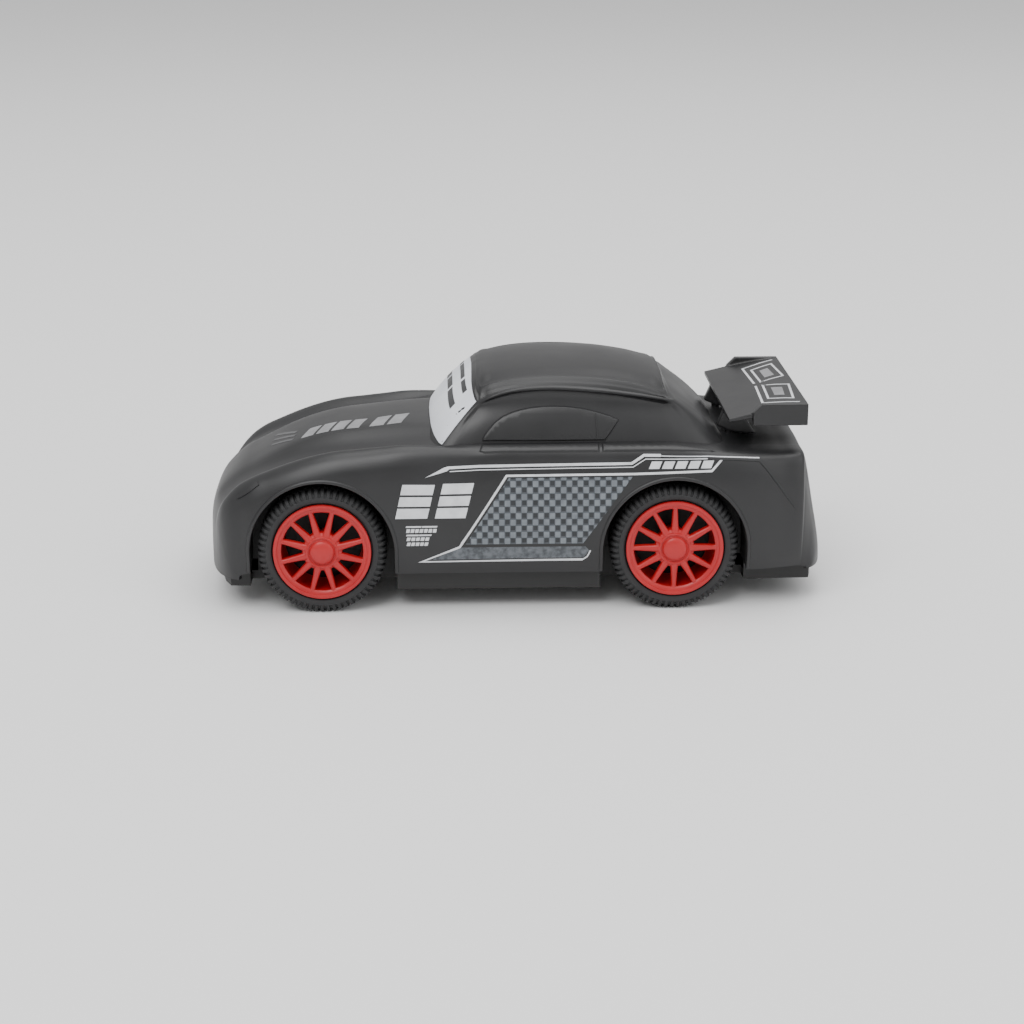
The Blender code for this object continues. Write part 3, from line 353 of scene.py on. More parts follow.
def sheetObject(name, whole, material):
    rows, columns = whole.shape[:2]
    sheet = meshFromArrays(name, whole.reshape(-1, 3), gridFaces(rows, columns), material, None)
    bm = bmesh.new()
    bm.from_mesh(sheet.data)
    bmesh.ops.remove_doubles(bm, verts=bm.verts, dist=0.00001)
    bmesh.ops.dissolve_degenerate(bm, edges=bm.edges, dist=0.000005)
    bmesh.ops.recalc_face_normals(bm, faces=bm.faces)
    upward = sum(f.normal.z * f.calc_area() for f in bm.faces)
    if upward < 0:
        bmesh.ops.reverse_faces(bm, faces=bm.faces)
    bm.to_mesh(sheet.data)
    bm.free()
    sheet.data.shade_smooth()
    return sheet


def buildSkin():
    grid = bodyGrid()
    mirrored = grid[:, ::-1][:, 1:] * np.array([1, -1, 1])
    return sheetObject("bodySkin", np.concatenate([grid, mirrored], 1), bodyPlastic)


# rings of points from the front middle round the right side to the rear middle
cabin = {
    "wall": 1.1,
    "sharp": 50,
    "base": [
        (-20.3, 0, 39.9), (-20.1, 8, 39.7), (-19.7, 15, 39.0), (-18.8, 20.4, 38.0), (-17.4, 24.0, 37.3),
        (-15.8, 24.5, 37.3), (-12, 24.4, 37.8), (-5, 24.2, 38.1), (5, 24.5, 38.1), (18, 24.4, 38.1),
        (30, 24.0, 37.9), (38, 23.1, 37.6), (43.5, 21.6, 37.1), (46, 19.6, 36.9), (46.6, 14.5, 37.2),
        (46.4, 8, 37.4),
        (46.3, 0, 37.4)],
    "gutter": [
        (-9.7, 0, 51.3), (-9.8, 8, 50.8), (-9.8, 14.5, 49.4), (-9.3, 18.6, 47.8), (-8.7, 20.1, 46.9),
        (-8.0, 20.7, 47.1), (-6.6, 21.2, 47.9), (-2.5, 21.6, 49.4), (5, 21.8, 50.3), (18.3, 21.7, 49.5),
        (27, 21.3, 48.3), (31.5, 20.9, 47.5), (34.0, 20.2, 46.9), (35.2, 18.8, 46.7), (35.0, 14.0, 47.2),
        (34.6, 8, 47.9), (34.4, 0, 48.1)],
    "channel": [
        (-9.3, 0, 51.6), (-9.4, 7.8, 51.1), (-9.4, 13.8, 49.9), (-9.0, 17.4, 48.4), (-8.4, 18.7, 47.9),
        (-7.7, 19.0, 48.2), (-6.3, 19.3, 48.9), (-2.3, 19.6, 50.1), (5, 19.7, 50.9), (18.3, 19.6, 50.2),
        (26.6, 19.3, 48.9), (30.8, 19.1, 47.9), (32.9, 18.7, 47.3), (33.9, 17.9, 47.1), (33.9, 13.8, 48.0),
        (33.8, 7.8, 48.9), (33.8, 0, 49.2)],
    "ridge": [
        (-8.9, 0, 51.9), (-9.0, 7.5, 51.5), (-9.0, 13, 50.5), (-8.7, 16, 49.8), (-8.3, 17.2, 49.5),
        (-7.5, 17.5, 49.8), (-6, 17.7, 50.4), (-2, 17.8, 51.3), (5, 17.8, 51.95), (18.1, 17.8, 51.5),
        (26.2, 17.7, 50.2), (30.3, 17.6, 49.0), (32.3, 17.4, 48.2), (33.2, 16.6, 48.0), (33.2, 13.3, 49.3),
        (33.2, 7.5, 50.3), (33.2, 0, 50.6)],
    "roof": [(-9.0, 51.9), (-4, 52.9), (2, 53.5), (9, 53.8), (18, 53.7), (26, 52.6), (33.2, 50.6)],
    "spine": (-3.0, 28.0),
    "roofEdgeX": [-9, -6, -2, 5, 18.1, 26.2, 30.3, 33.2],
    "roofEdgeZ": [51.0, 50.6, 51.3, 51.95, 51.5, 50.2, 49.2, 49.0],
    "roofRings": (1.0, 0.97, 0.92, 0.84, 0.72, 0.56, 0.36, 0.16, 0.0),
    "around": 9,
    # shares of the way from the base to the gutter and how far the side is drawn in there
    "sideRows": [(-0.14, -0.1), (0, 0), (0.12, 0.05), (0.3, 0.2), (0.48, 0.48), (0.62, 0.82), (0.74, 1.0),
                 (0.84, 0.92), (0.91, 0.6), (0.96, 0.18), (0.99, -0.06), (1, -0.1)],
    "bead": 0.46,
    "dip": 0.78,
    "glassBulge": 0.7,
}


def ringThrough(name):
    ring = np.array(cabin[name], float)[:, None, :]
    return smoothThrough(ring, cabin["around"])[:, 0]


def buildCabin():
    base, gutter, channel, ridge = (ringThrough(name) for name in ("base", "gutter", "channel", "ridge"))
    count = len(base)
    around = cabin["around"]
    index = np.arange(count) / around
    isSide = np.clip((index - 4.2) / 1.2, 0, 1) * np.clip((12.8 - index) / 1.2, 0, 1)
    glass = np.clip((4.2 - index) / 1.0, 0, 1) + np.clip((index - 12.8) / 1.0, 0, 1)
    rows = []
    for share, inset in cabin["sideRows"]:
        row = base + (gutter - base) * share
        row[:, 1] -= inset * isSide
        bulge = cabin["glassBulge"] * 4 * max(share, 0) * (1 - share) * glass
        row[:, 0] += np.where(index < 8, -bulge, bulge) * 0.7
        row[:, 2] += bulge * 0.7
        rows.append(row)
    steps = ((gutter, channel, (0.12, 0.3, 0.5, 0.75)), (channel, ridge, (0.0, 0.25, 0.5, 0.7, 0.85)))
    for a, b, shares in steps:
        for t in shares:
            row = a + (b - a) * t
            bead, dip = cabin["bead"] * sin(pi * min(1.0, t * 2)), cabin["dip"]
            lift = bead - dip * t if a is gutter else 0.3 * bead - dip * (1 - t) ** 1.5
            row[:, 2] += lift * isSide
            rows.append(row)
    for s in cabin["roofRings"]:
        spineX = np.clip(ridge[:, 0], *cabin["spine"])
        x = spineX + (ridge[:, 0] - spineX) * s
        y = ridge[:, 1] * s
        top = curveThrough(cabin["roof"], x)
        edge = ridge[:, 2]
        reach = np.abs(ridge[:, 1] * s) / np.interp(x, [-9, -7, 31, 33.2], [17, 17.8, 17.6, 17])
        sideEdge = np.interp(x, cabin["roofEdgeX"], cabin["roofEdgeZ"])
        dome = sideEdge + (top - sideEdge) * (1 - np.minimum(reach, 1) ** 2.2)
        blend = np.clip((1 - s) / 0.2, 0, 1)
        z = edge * (1 - blend) + dome * blend
        rows.append(np.stack([x, y, np.minimum(z, roofTop)], 1))
    grid = smoothThrough(np.array(rows), [2] * (len(rows) - 1))
    grid[..., 2] = np.minimum(grid[..., 2], roofTop)
    mirrored = grid[:, ::-1][:, 1:-1] * np.array([1, -1, 1])
    whole = np.concatenate([grid, mirrored, grid[:, :1]], 1)
    return sheetObject("cabinTop", whole, bodyPlastic)


skin = buildSkin()
cabinTop = buildCabin()


def treeOf(objects):
    points, faces = [], []
    for obj in objects:
        start = len(points)
        points += [v.co.copy() for v in obj.data.vertices]
        faces += [[start + i for i in f.vertices] for f in obj.data.polygons]
    return BVHTree.FromPolygons(points, faces)


skinTree = treeOf([skin, cabinTop])
print("skin", len(skin.data.polygons), "cabin", len(cabinTop.data.polygons))

arch = {
    "radius": 16.3, "inset": 2.2, "sides": 128, "lipWidth": 0.75,
    # shares of the lip's width and how far it stands proud there
    "lipSection": [
        (-0.15, -0.35), (-0.15, 0.12), (0.0, 0.24), (0.3, 0.28), (0.7, 0.2), (1.0, 0.02), (1.05, -0.3)],
}


def wheelCentres():
    return [(x, side) for x in (frontX, rearX) for side in (-1, 1)]


def applyBooleans(obj, cutters=()):
    for cutter in cutters:
        modifier = obj.modifiers.new("cut", "BOOLEAN")
        modifier.operation = "DIFFERENCE"
        modifier.object = cutter
        modifier.solver = "EXACT"
    mesh = bpy.data.meshes.new_from_object(obj.evaluated_get(bpy.context.evaluated_depsgraph_get()))
    obj.modifiers.clear()
    old = obj.data
    obj.data = mesh
    bpy.data.meshes.remove(old)
    for cutter in cutters:
        bpy.data.objects.remove(cutter)


def archCutters():
    cutters = []
    inner = wheelFace - tyreWidth - arch["inset"]
    for number, (x, side) in enumerate(wheelCentres()):
        outline = [(x + arch["radius"] * cos(a), axleZ + arch["radius"] * sin(a))
                   for a in np.linspace(0, pi, arch["sides"] // 2 + 1)]
        outline += [(x - arch["radius"], 0.0), (x + arch["radius"], 0.0)]
        bm = bmesh.new()
        ends = []
        for y in sorted((side * inner, side * (halfWidth + 5))):
            ends.append([bm.verts.new((px * mm, y * mm, pz * mm)) for px, pz in outline])
        bm.faces.new(ends[0])
        bm.faces.new(ends[1][::-1])
        for k in range(len(outline)):
            n = (k + 1) % len(outline)
            bm.faces.new((ends[0][k], ends[1][k], ends[1][n], ends[0][n]))
        bmesh.ops.recalc_face_normals(bm, faces=bm.faces)
        cutters.append(makeObject(f"archCutter{number}", bm, bodyPlastic, True, None))
    return cutters


def thickenSkin():
    wall = skin.modifiers.new("wall", "SOLIDIFY")
    wall.thickness = body["wall"] * mm
    wall.offset = -1
    applyBooleans(skin, archCutters())
    skin.data.shade_smooth()
    skin.data.set_sharp_from_angle(angle=radians(body["sharp"]))
    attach(skin, carBody)
    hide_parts("body_shell")
    wall = cabinTop.modifiers.new("wall", "SOLIDIFY")
    wall.thickness = cabin["wall"] * mm
    wall.offset = -1
    applyBooleans(cabinTop)
    cabinTop.data.shade_smooth()
    cabinTop.data.set_sharp_from_angle(angle=radians(cabin["sharp"]))
    onBody(cabinTop)


thickenSkin()
print("arches cut", len(skin.data.polygons))


# the point of the skin that a ray meets, in mm, with its normal
def dropOn(tree, start, towards):
    hit = tree.ray_cast(Vector(start) * mm, Vector(towards))
    return (np.array(hit[0]) / mm, np.array(hit[1])) if hit[0] else None


def onSide(x, z, side=-1):
    return dropOn(skinTree, (x, side * (halfWidth + 8), z), (0, -side, 0))


def onTop(x, y, _=0):
    return dropOn(skinTree, (x, y, roofTop + 10), (0, 0, -1))


def insideLoops(point, loops):
    inside = False
    x, y = point
    for loop in loops:
        for k in range(len(loop)):
            (x0, y0), (x1, y1) = loop[k - 1], loop[k]
            if (y0 > y) != (y1 > y) and x < (x1 - x0) * (y - y0) / (y1 - y0) + x0:
                inside = not inside
    return inside


def refineLoop(loop, step):
    made = []
    for k in range(len(loop)):
        a, b = np.array(loop[k]), np.array(loop[(k + 1) % len(loop)])
        count = max(1, int(np.ceil(np.linalg.norm(b - a) / step)))
        made += [tuple(a + (b - a) * i / count) for i in range(count)]
    return made


# the triangles inside the loops, without slivers
def soundFaces(verts, faces, loops):
    made = []
    for f in faces:
        a, b, c = (np.array(verts[i]) for i in f[:3])
        if abs(np.cross(b - a, c - a)) > leastArea and insideLoops((a + b + c) / 3, loops):
            made.append(f)
    return made


# an even grid of points inside the loops, clear of the border
def fillPoints(border, loops, step):
    border = np.array(border)
    low, high = border.min(0), border.max(0)
    return [(gx, gy) for gx in np.arange(low[0] + step / 2, high[0], step)
            for gy in np.arange(low[1] + step / 2, high[1], step)
            if np.abs(border - (gx, gy)).sum(1).min() > step * 0.6 and insideLoops((gx, gy), loops)]


def triangulate(points, edges, loops):
    verts, _, faces, _, _, _ = delaunay_2d_cdt([Vector(q) for q in points], edges, [], 0, 1e-6)
    verts = [tuple(v) for v in verts]
    return verts, soundFaces(verts, faces, loops)


# the faces of a sheet, the same faces turned over on a copy of its points, and walls between them
def doubledFaces(faces, count):
    sides = dict.fromkeys((a, b) for f in faces for a, b in zip(f, f[1:] + f[:1]))
    walls = [(b, a, a + count, b + count) for a, b in sides if (b, a) not in sides]
    return faces + [tuple(i + count for i in f[::-1]) for f in faces] + walls


# a thin print or panel on the skin, from flat outlines; the drop function finds the skin under a point
def skinPatch(name, loops, drop, side, lift, material, step=1.0, thick=0.05):
    loops = [refineLoop(loop, step) for loop in loops]
    points, edges = [], []
    for loop in loops:
        start = len(points)
        points += loop
        edges += [(start + k, start + (k + 1) % len(loop)) for k in range(len(loop))]
    verts, faces = triangulate(points + fillPoints(points, loops, step), edges, loops)
    found = [drop(x, y, side) for x, y in verts]
    faces = [f for f in faces if all(found[i] is not None for i in f)]
    used = sorted({i for f in faces for i in f})
    index = {old: new for new, old in enumerate(used)}
    upper = [found[i][0] + found[i][1] * lift for i in used]
    lower = [found[i][0] + found[i][1] * lift - found[i][1] * (lift + thick) for i in used]
    faces = [tuple(index[i] for i in f) for f in faces]
    a, b, c = (upper[i] for i in faces[0])
    if np.dot(np.cross(b - a, c - a), found[used[faces[0][0]]][1]) < 0:
        faces = [f[::-1] for f in faces]
    onBody(meshFromArrays(name, upper + lower, doubledFaces(faces, len(used)), material, 30))


# a flat outline around a polyline with the given width
def strokeLoop(path, width):
    path = np.array(path, float)
    left, right = [], []
    for k in range(len(path)):
        before = path[k] - path[k - 1] if k else path[1] - path[0]
        after = path[k + 1] - path[k] if k < len(path) - 1 else path[-1] - path[-2]
        before, after = before / np.linalg.norm(before), after / np.linalg.norm(after)
        bisector = before + after
        bisector /= np.linalg.norm(bisector)
        normal = np.array([-bisector[1], bisector[0]])
        reach = width / 2 / max(0.35, abs(np.dot(bisector, after)))
        left.append(tuple(path[k] + normal * reach))
        right.append(tuple(path[k] - normal * reach))
    return left + right[::-1]


sidePrint = {
    "stripe": [(-15.9, 34.0), (-8.7, 34.25), (25.0, 34.6), (27.7, 36.35), (31.5, 36.3)],
    "stripeWidth": 0.6,
    "tip": [(-20.9, 31.9), (-16.0, 33.3), (-15.5, 33.7), (-15.7, 34.3), (-16.6, 34.1)],
    "thinLine": [(-15.4, 33.2), (-8.7, 33.45), (25.3, 33.8), (28.1, 35.55), (45.0, 35.35)],
    "fineLine": [(31.0, 36.2), (42.0, 35.85), (53.7, 35.1)],
    "underLine": [
        (14.3, 12.4), (-21.9, 12.2), (-13.3, 15.7), (-2.8, 32.1), (25.9, 32.3), (42.9, 32.75), (45.3, 35.3)],
    "underWidth": 0.5,
    "innerLine": [(-13.0, 16.6), (-3.0, 31.6)],
    "panel": [(-2.3, 31.6), (25.2, 31.7), (14.3, 16.3), (-12.0, 16.3)],
    "strip": [(-12.9, 15.6), (14.9, 15.6), (15.7, 14.6), (14.5, 12.9), (-19.6, 12.7)],
    "stripEdge": [(14.3, 12.4), (15.3, 13.1), (16.0, 14.6)],
    "cell": (1.25, 1.47),
    "number": [
        [(-27.6, 22.6), (-20.5, 22.6), (-18.7, 30.3), (-25.9, 30.4)],
        [(-18.8, 22.6), (-12.0, 22.6), (-10.0, 30.6), (-16.9, 30.5)]],
    "smallRows": [
        (20.5, 0.35, 7.1), (19.3, 0.85, 6.9), (18.5, 0.35, 5.7), (17.35, 0.8, 5.2), (16.15, 0.8, 4.9)],
    "plate": (28.8, 43.3, 33.35, 35.0),
    "crease": [
        (42.0, 35.4), (49.5, 35.0), (53.8, 34.6), (55.4, 32.8), (57.4, 30.2), (60.0, 26.6), (62.3, 23.5)],
    "lamp": [(-63.0, 26.6), (-60.6, 28.2), (-58.0, 30.2)],
}


def clipLoop(loop, convex):
    for k in range(len(convex)):
        a, b = np.array(convex[k - 1]), np.array(convex[k])
        kept = []
        for m in range(len(loop)):
            p, q = np.array(loop[m - 1]), np.array(loop[m])
            pIn = np.cross(b - a, p - a) <= 1e-9
            qIn = np.cross(b - a, q - a) <= 1e-9
            if pIn != qIn:
                t = np.cross(b - a, a - p) / np.cross(b - a, q - p)
                kept.append(tuple(p + (q - p) * t))
            if qIn:
                kept.append(tuple(q))
        loop = kept
        if len(loop) < 3:
            return []
    return loop


# many small flat tiles in one piece, each laid on the skin
def skinTiles(name, loops, drop, side, lift, material, depth=0.06):
    points, faces = [], []
    for loop in loops:
        found = [drop(x, y, side) for x, y in loop]
        if any(f is None for f in found):
            continue
        start, count = len(points), len(loop)
        points += [f[0] + f[1] * lift for f in found]
        points += [f[0] - f[1] * depth for f in found]
        top = [np.array(points[start + k]) for k in range(3)]
        ring = list(range(start, start + count))
        if np.dot(np.cross(top[1] - top[0], top[2] - top[0]), found[0][1]) < 0:
            ring = ring[::-1]
        faces.append(tuple(ring))
        faces += [(ring[k], ring[k - 1], ring[k - 1] + count, ring[k] + count) for k in range(count)]
    onBody(meshFromArrays(name, points, faces, material, 30))


def checkTiles(panel, cell, odd, size, shift=(0, 0)):
    low, high = np.min(panel, 0), np.max(panel, 0)
    loops = []
    for row in range(int((high[1] - low[1]) / cell[1]) + 1):
        for column in range(int((high[0] - low[0]) / cell[0]) + 1):
            if (row + column) % 2 != odd:
                continue
            cx = low[0] + (column + 0.5) * cell[0] + shift[0]
            cy = low[1] + (row + 0.5) * cell[1] + shift[1]
            w, h = size[0] / 2, size[1] / 2
            loop = [(cx - w, cy - h), (cx + w, cy - h), (cx + w, cy + h), (cx - w, cy + h)]
            loop = clipLoop(loop, panel)
            if len(loop) > 2:
                loops.append(loop)
    return loops


def bandBlocks(loop):
    low, high = np.array(loop[:2]), np.array([loop[3], loop[2]])
    made = []
    for start, end in ((0.0, 0.3), (0.36, 0.64), (0.7, 1.0)):
        a, b = low + (high - low) * start, low + (high - low) * end
        made.append([tuple(a[0]), tuple(a[1]), tuple(b[1]), tuple(b[0])])
    return made


def slantedRow(low, high, bottom, top, count, slant, fill=0.74):
    pitch = (high - low) / count
    loops = []
    for k in range(count):
        a = low + k * pitch
        b = a + pitch * fill
        loops.append([(a, bottom), (b, bottom), (b + slant, top), (a + slant, top)])
    return loops


def buildSidePrints():
    spec = sidePrint
    for side, label in ((-1, "Left"), (1, "Right")):
        lines = [("stripe", spec["stripeWidth"]), ("underLine", spec["underWidth"]), ("thinLine", 0.2),
                 ("fineLine", 0.2), ("innerLine", 0.18), ("stripEdge", 0.3)]
        for line, width in lines:
            skinPatch(line + label, [strokeLoop(spec[line], width)], onSide, side, 0.06, silverPrint)
        skinPatch("stripeTip" + label, [spec["tip"]], onSide, side, 0.06, silverPrint)
        skinPatch("checkPanel" + label, [spec["panel"]], onSide, side, 0.03, checkMiddle)
        skinPatch("sillStrip" + label, [spec["strip"]], onSide, side, 0.04, hammerPrint)
        cell = spec["cell"]
        pale = checkTiles(spec["panel"], cell, 1, (cell[0] * 0.94, cell[1] * 0.92))
        dark = checkTiles(spec["panel"], cell, 0, (cell[0] * 0.74, cell[1] * 0.7), (0, 0.12))
        skinTiles("paleChecks" + label, pale, onSide, side, 0.07, checkPale)
        skinTiles("darkChecks" + label, dark, onSide, side, 0.05, checkDark)
        for number, loop in enumerate(band for outline in spec["number"] for band in bandBlocks(outline)):
            skinPatch(f"sideBlock{label}{number}", [loop], onSide, side, 0.06, silverPrint)
        bars = []
        for z, height, length in spec["smallRows"]:
            start = -25.3 + (20.9 - z) * 0.03
            if height > 0.5:
                bars += slantedRow(start, start + length, z, z + height, round(length / 0.95), 0.2, 0.78)
            else:
                bars += slantedRow(start, start + length, z, z + height, 2, 0.1, 0.96)
        skinTiles("smallRows" + label, bars, onSide, side, 0.06, silverPrint)
        low, high, bottom, top = spec["plate"]
        for number, loop in enumerate(slantedRow(low, high, bottom, top, 5, 0.7, 0.8)):
            skinPatch(f"plateBlock{label}{number}", [loop], onSide, side, 0.06, silverPrint)
        for line, width, lift in (("crease", 0.45, 0.16), ("lamp", 0.8, 0.22)):
            loop = strokeLoop(spec[line], width)
            skinPatch(line + label, [loop], onSide, side, lift, bodyPlastic, 0.5, 0.2)


topPrint = {
    "hoodRow": [(-49.3, -33.4, 4), (-33.6, -23.6, 2)],
    "hoodAcross": [
        (-49.5, -9.9, -4.7), (-42, -10.6, -5.1), (-35, -11.1, -5.6), (-30, -11, -4.4), (-23.4, -10.4, -2.7)],
    "hoodSlant": 1.9,
    "slashes": [
        [(-56.4, -4.2), (-51.2, -8.4)], [(-56.2, -0.4), (-50.9, -5.9)], [(-55.9, 3.6), (-50.7, -3.3)]],
    "slashWidth": 1.0,
    "screenBars": [
        [(-16.4, 8.3), (-16.2, 10.0), (-6.3, 10.7), (-6.3, 9.1)],
        [(-4.7, 9.2), (-4.7, 10.8), (0, 10.9), (0, 9.3)],
        [(-15.0, 12.6), (-14.8, 13.9), (-8.4, 14.4), (-8.4, 13.2)],
        [(-6.8, 13.3), (-6.8, 14.5), (0, 14.7), (0, 13.5)]],
    "screenMargin": 0.45,
    "screenFoot": (-21.5, 38.9),
    "wingMark": [(56.2, -1.2), (55.6, -16.8), (63.3, -20.9)],
    "wingFrame": [(57.8, -1.6), (63.4, -4.2), (62.5, -17.0), (57.3, -14.0), (57.8, -1.6), (58.6, -2.0)],
    "wingBlock": [(59.2, -5.0), (61.6, -6.1), (61.1, -13.2), (59.0, -12.0)],
}


# flat coordinates for the windscreen: across the car, and up its slope from the foot
def onScreen(y, v, side=1):
    footX, footZ = topPrint["screenFoot"]
    origin = Vector((footX + diagonal * v, y * side, footZ + diagonal * v))
    return dropOn(skinTree, origin + Vector((-diagonal, 0, diagonal)) * 15, (diagonal, 0, -diagonal))


def buildTopPrints():
    spec = topPrint
    xs, low, high = np.array(spec["hoodAcross"]).T
    slant = spec["hoodSlant"]

    def place(x, up):
        near, far = np.interp(x, xs, low), np.interp(x, xs, high)
        return (x + slant * up, float(near + (far - near) * up))

    number = 0
    for start, end, count in spec["hoodRow"]:
        for loop in slantedRow(start, end - slant, 0, 1, count, 0, 0.8):
            skinPatch(f"hoodBlock{number}", [[place(a, b) for a, b in loop]], onTop, 0, 0.05, greyPrint)
            number += 1
    for number, line in enumerate(spec["slashes"]):
        skinPatch(f"hoodSlash{number}", [strokeLoop(line, spec["slashWidth"])], onTop, 0, 0.05, slashPrint)
    around = cabin["around"]
    base, gutter = ringThrough("base")[:4 * around + 1], ringThrough("gutter")[:4 * around + 1]

    def flat(point):
        footX, footZ = spec["screenFoot"]
        return (point[1], ((point[0] - footX) + (point[2] - footZ)) * diagonal)

    margin = spec["screenMargin"]
    lower = [flat(q) for q in base[::3]]
    upper = [flat(q) for q in gutter[::3]]
    lower = [(y * 0.985, v + margin * 1.6) for y, v in lower]
    upper = [(y * 0.985, v - margin) for y, v in upper]
    half = lower + upper[::-1]
    outline = half + [(-y, v) for y, v in half[::-1][1:-1] if y > 0.01]
    steps = np.hypot(*(np.array(outline) - np.roll(outline, 1, 0)).T)
    outline = [point for point, step in zip(outline, steps) if step > 0.05]
    skinPatch("screenPrint", [outline], onScreen, 1, 0.05, screenPrint)
    for side, label in ((1, "Left"), (-1, "Right")):
        for number, loop in enumerate(spec["screenBars"]):
            skinPatch(f"screenBar{label}{number}", [loop], onScreen, side, 0.1, inkPrint, 0.8)


buildSidePrints()
buildTopPrints()
print("prints done")


window = {
    "panel": [
        (-8.1, 38.75), (-7.8, 39.8), (-7.0, 40.9), (-5.4, 42.7), (-3.6, 44.0), (-1.5, 44.9), (0.6, 45.5),
        (2.7, 45.9), (5.2, 46.15), (7.7, 46.2), (10.8, 46.1), (13.9, 45.7), (16.1, 45.25), (18.1, 44.7),
        (20.5, 44.0), (22.6, 43.1), (21.6, 41.7), (20.6, 40.3), (19.4, 38.75)],
    "lift": 0.45,
    "bevel": 0.35,
    "pillar": [(17.7, 39.2), (17.3, 44.4)],
    "belt": [(-8.8, -1.3), (-8.2, 0.9), (-4.0, 1.05), (17.9, 1.05), (17.9, -1.8), (-7.6, -1.8)],
    "beltRear": [(18.5, -1.8), (18.5, 1.05), (27, 1.0), (36, 0.6), (43, -0.4), (44, -1.2), (36, -1.7)],
    "beltLift": 0.3,
    "beltBevel": 0.5,
    "barWidth": 0.28,
}


def insetLoop(loop, inset):
    loop = np.array(loop, float)
    area = sum(np.cross(loop[k - 1], loop[k]) for k in range(len(loop)))
    made = []
    for k in range(len(loop)):
        before = loop[k] - loop[k - 1]
        after = loop[(k + 1) % len(loop)] - loop[k]
        before, after = before / np.linalg.norm(before), after / np.linalg.norm(after)
        bisector = before + after
        bisector /= max(np.linalg.norm(bisector), 1e-6)
        normal = np.array([-bisector[1], bisector[0]]) * np.sign(area)
        made.append(tuple(loop[k] + normal * inset / max(0.4, abs(np.dot(bisector, after)))))
    return made


# a raised panel on the skin with a bevelled edge, made of rings that rise from the outline inwards
def raisedPanel(name, outline, drop, side, away, lift, bevel, material):
    outline = refineLoop(outline, 0.7)
    rings = [(0.0, -0.25), (0.0, 0.02), (bevel * 0.45, lift * 0.72), (bevel, lift)]
    points, faces = [], []
    count = len(outline)
    for inset, height in rings:
        for x, y in insetLoop(outline, inset):
            points.append(drop(x, y, side)[0] + away * height)
    faces += gridFaces(len(rings), count, True)
    inner = insetLoop(outline, bevel)
    edges = [(k, (k + 1) % count) for k in range(count)]
    verts, tris = triangulate(inner + fillPoints(inner, [inner], 1.0), edges, [inner])
    start = (len(rings) - 1) * count
    index = {}
    for k, vertex in enumerate(verts):
        apart = np.hypot(*(np.array(inner) - vertex).T)
        if apart.min() < 0.001:
            index[k] = start + int(apart.argmin())
        else:
            index[k] = len(points)
            points.append(drop(*vertex, side)[0] + away * lift)
    faces += [tuple(index[i] for i in f) for f in tris]
    obj = meshFromArrays(name, points, faces, material, None)
    faceOutwards(obj, away, 60)
    onBody(obj)


# flat coordinates for the shoulder: along the car, and up and inwards at 45 degrees
def onShoulder(x, v, side):
    away = np.array((0, side, 1)) * diagonal
    start = np.array((x, side * 26, 37.5)) + np.array((0, -side, 1)) * diagonal * v + away * 12
    return dropOn(skinTree, start, -away)


def buildWindows():
    for side, label in ((-1, "Left"), (1, "Right")):
        across = np.array((0, side, 0))
        lift, bevel = window["lift"], window["bevel"]
        raisedPanel("sideWindow" + label, window["panel"], onSide, side, across, lift, bevel, bodyPlastic)
        bar = strokeLoop(window["pillar"], window["barWidth"])
        skinPatch("windowBar" + label, [bar], onSide, side, lift + 0.14, bodyPlastic, 0.6, 0.3)
        away = (across + (0, 0, 1)) * diagonal
        for name in ("belt", "beltRear"):
            raisedPanel(name + label, window[name], onShoulder, side, away, window["beltLift"],
                        window["beltBevel"], bodyPlastic)


buildWindows()


# half round beads around the wheel openings, on the line where the body ends
def buildArchLips():
    for number, (x, side) in enumerate(wheelCentres()):
        radius = arch["radius"] + 0.05
        line = [(x - radius, z) for z in np.linspace(body["sill"] + 0.4, axleZ, 5)[:-1]]
        line += [(x - radius * cos(a), axleZ + radius * sin(a)) for a in np.linspace(0, pi, 72)]
        line += [(x + radius, z) for z in np.linspace(axleZ, body["sill"] + 0.4, 5)[1:]]
        points, faces, rows = [], [], 0
        for k, (px, pz) in enumerate(line):
            before, after = np.array(line[max(k - 1, 0)]), np.array(line[min(k + 1, len(line) - 1)])
            run = (after - before) / np.linalg.norm(after - before)
            away = np.array([-run[1], run[0]])
            samples = []
            for share, proud in arch["lipSection"]:
                qx, qz = np.array((px, pz)) + away * share * arch["lipWidth"]
                found = onSide(qx, qz, side)
                if found is None:
                    samples = None
                    break
                samples.append(found[0] + found[1] * proud)
            if samples:
                points += samples
                rows += 1
        faces = gridFaces(rows, len(arch["lipSection"]))
        obj = meshFromArrays(f"archLip{number}", points, faces, bodyPlastic, None)
        faceOutwards(obj, (0, side, 0), None, False)
        onBody(obj)


buildArchLips()
print("windows and lips done")


# a dark liner in each wheel opening: an arched sheet and an inner wall with a hole for the axle
liner = {"gap": 0.06, "wall": 0.5, "inner": 17.2, "outer": 26.4, "foot": 9.6, "axleHole": 2.4}


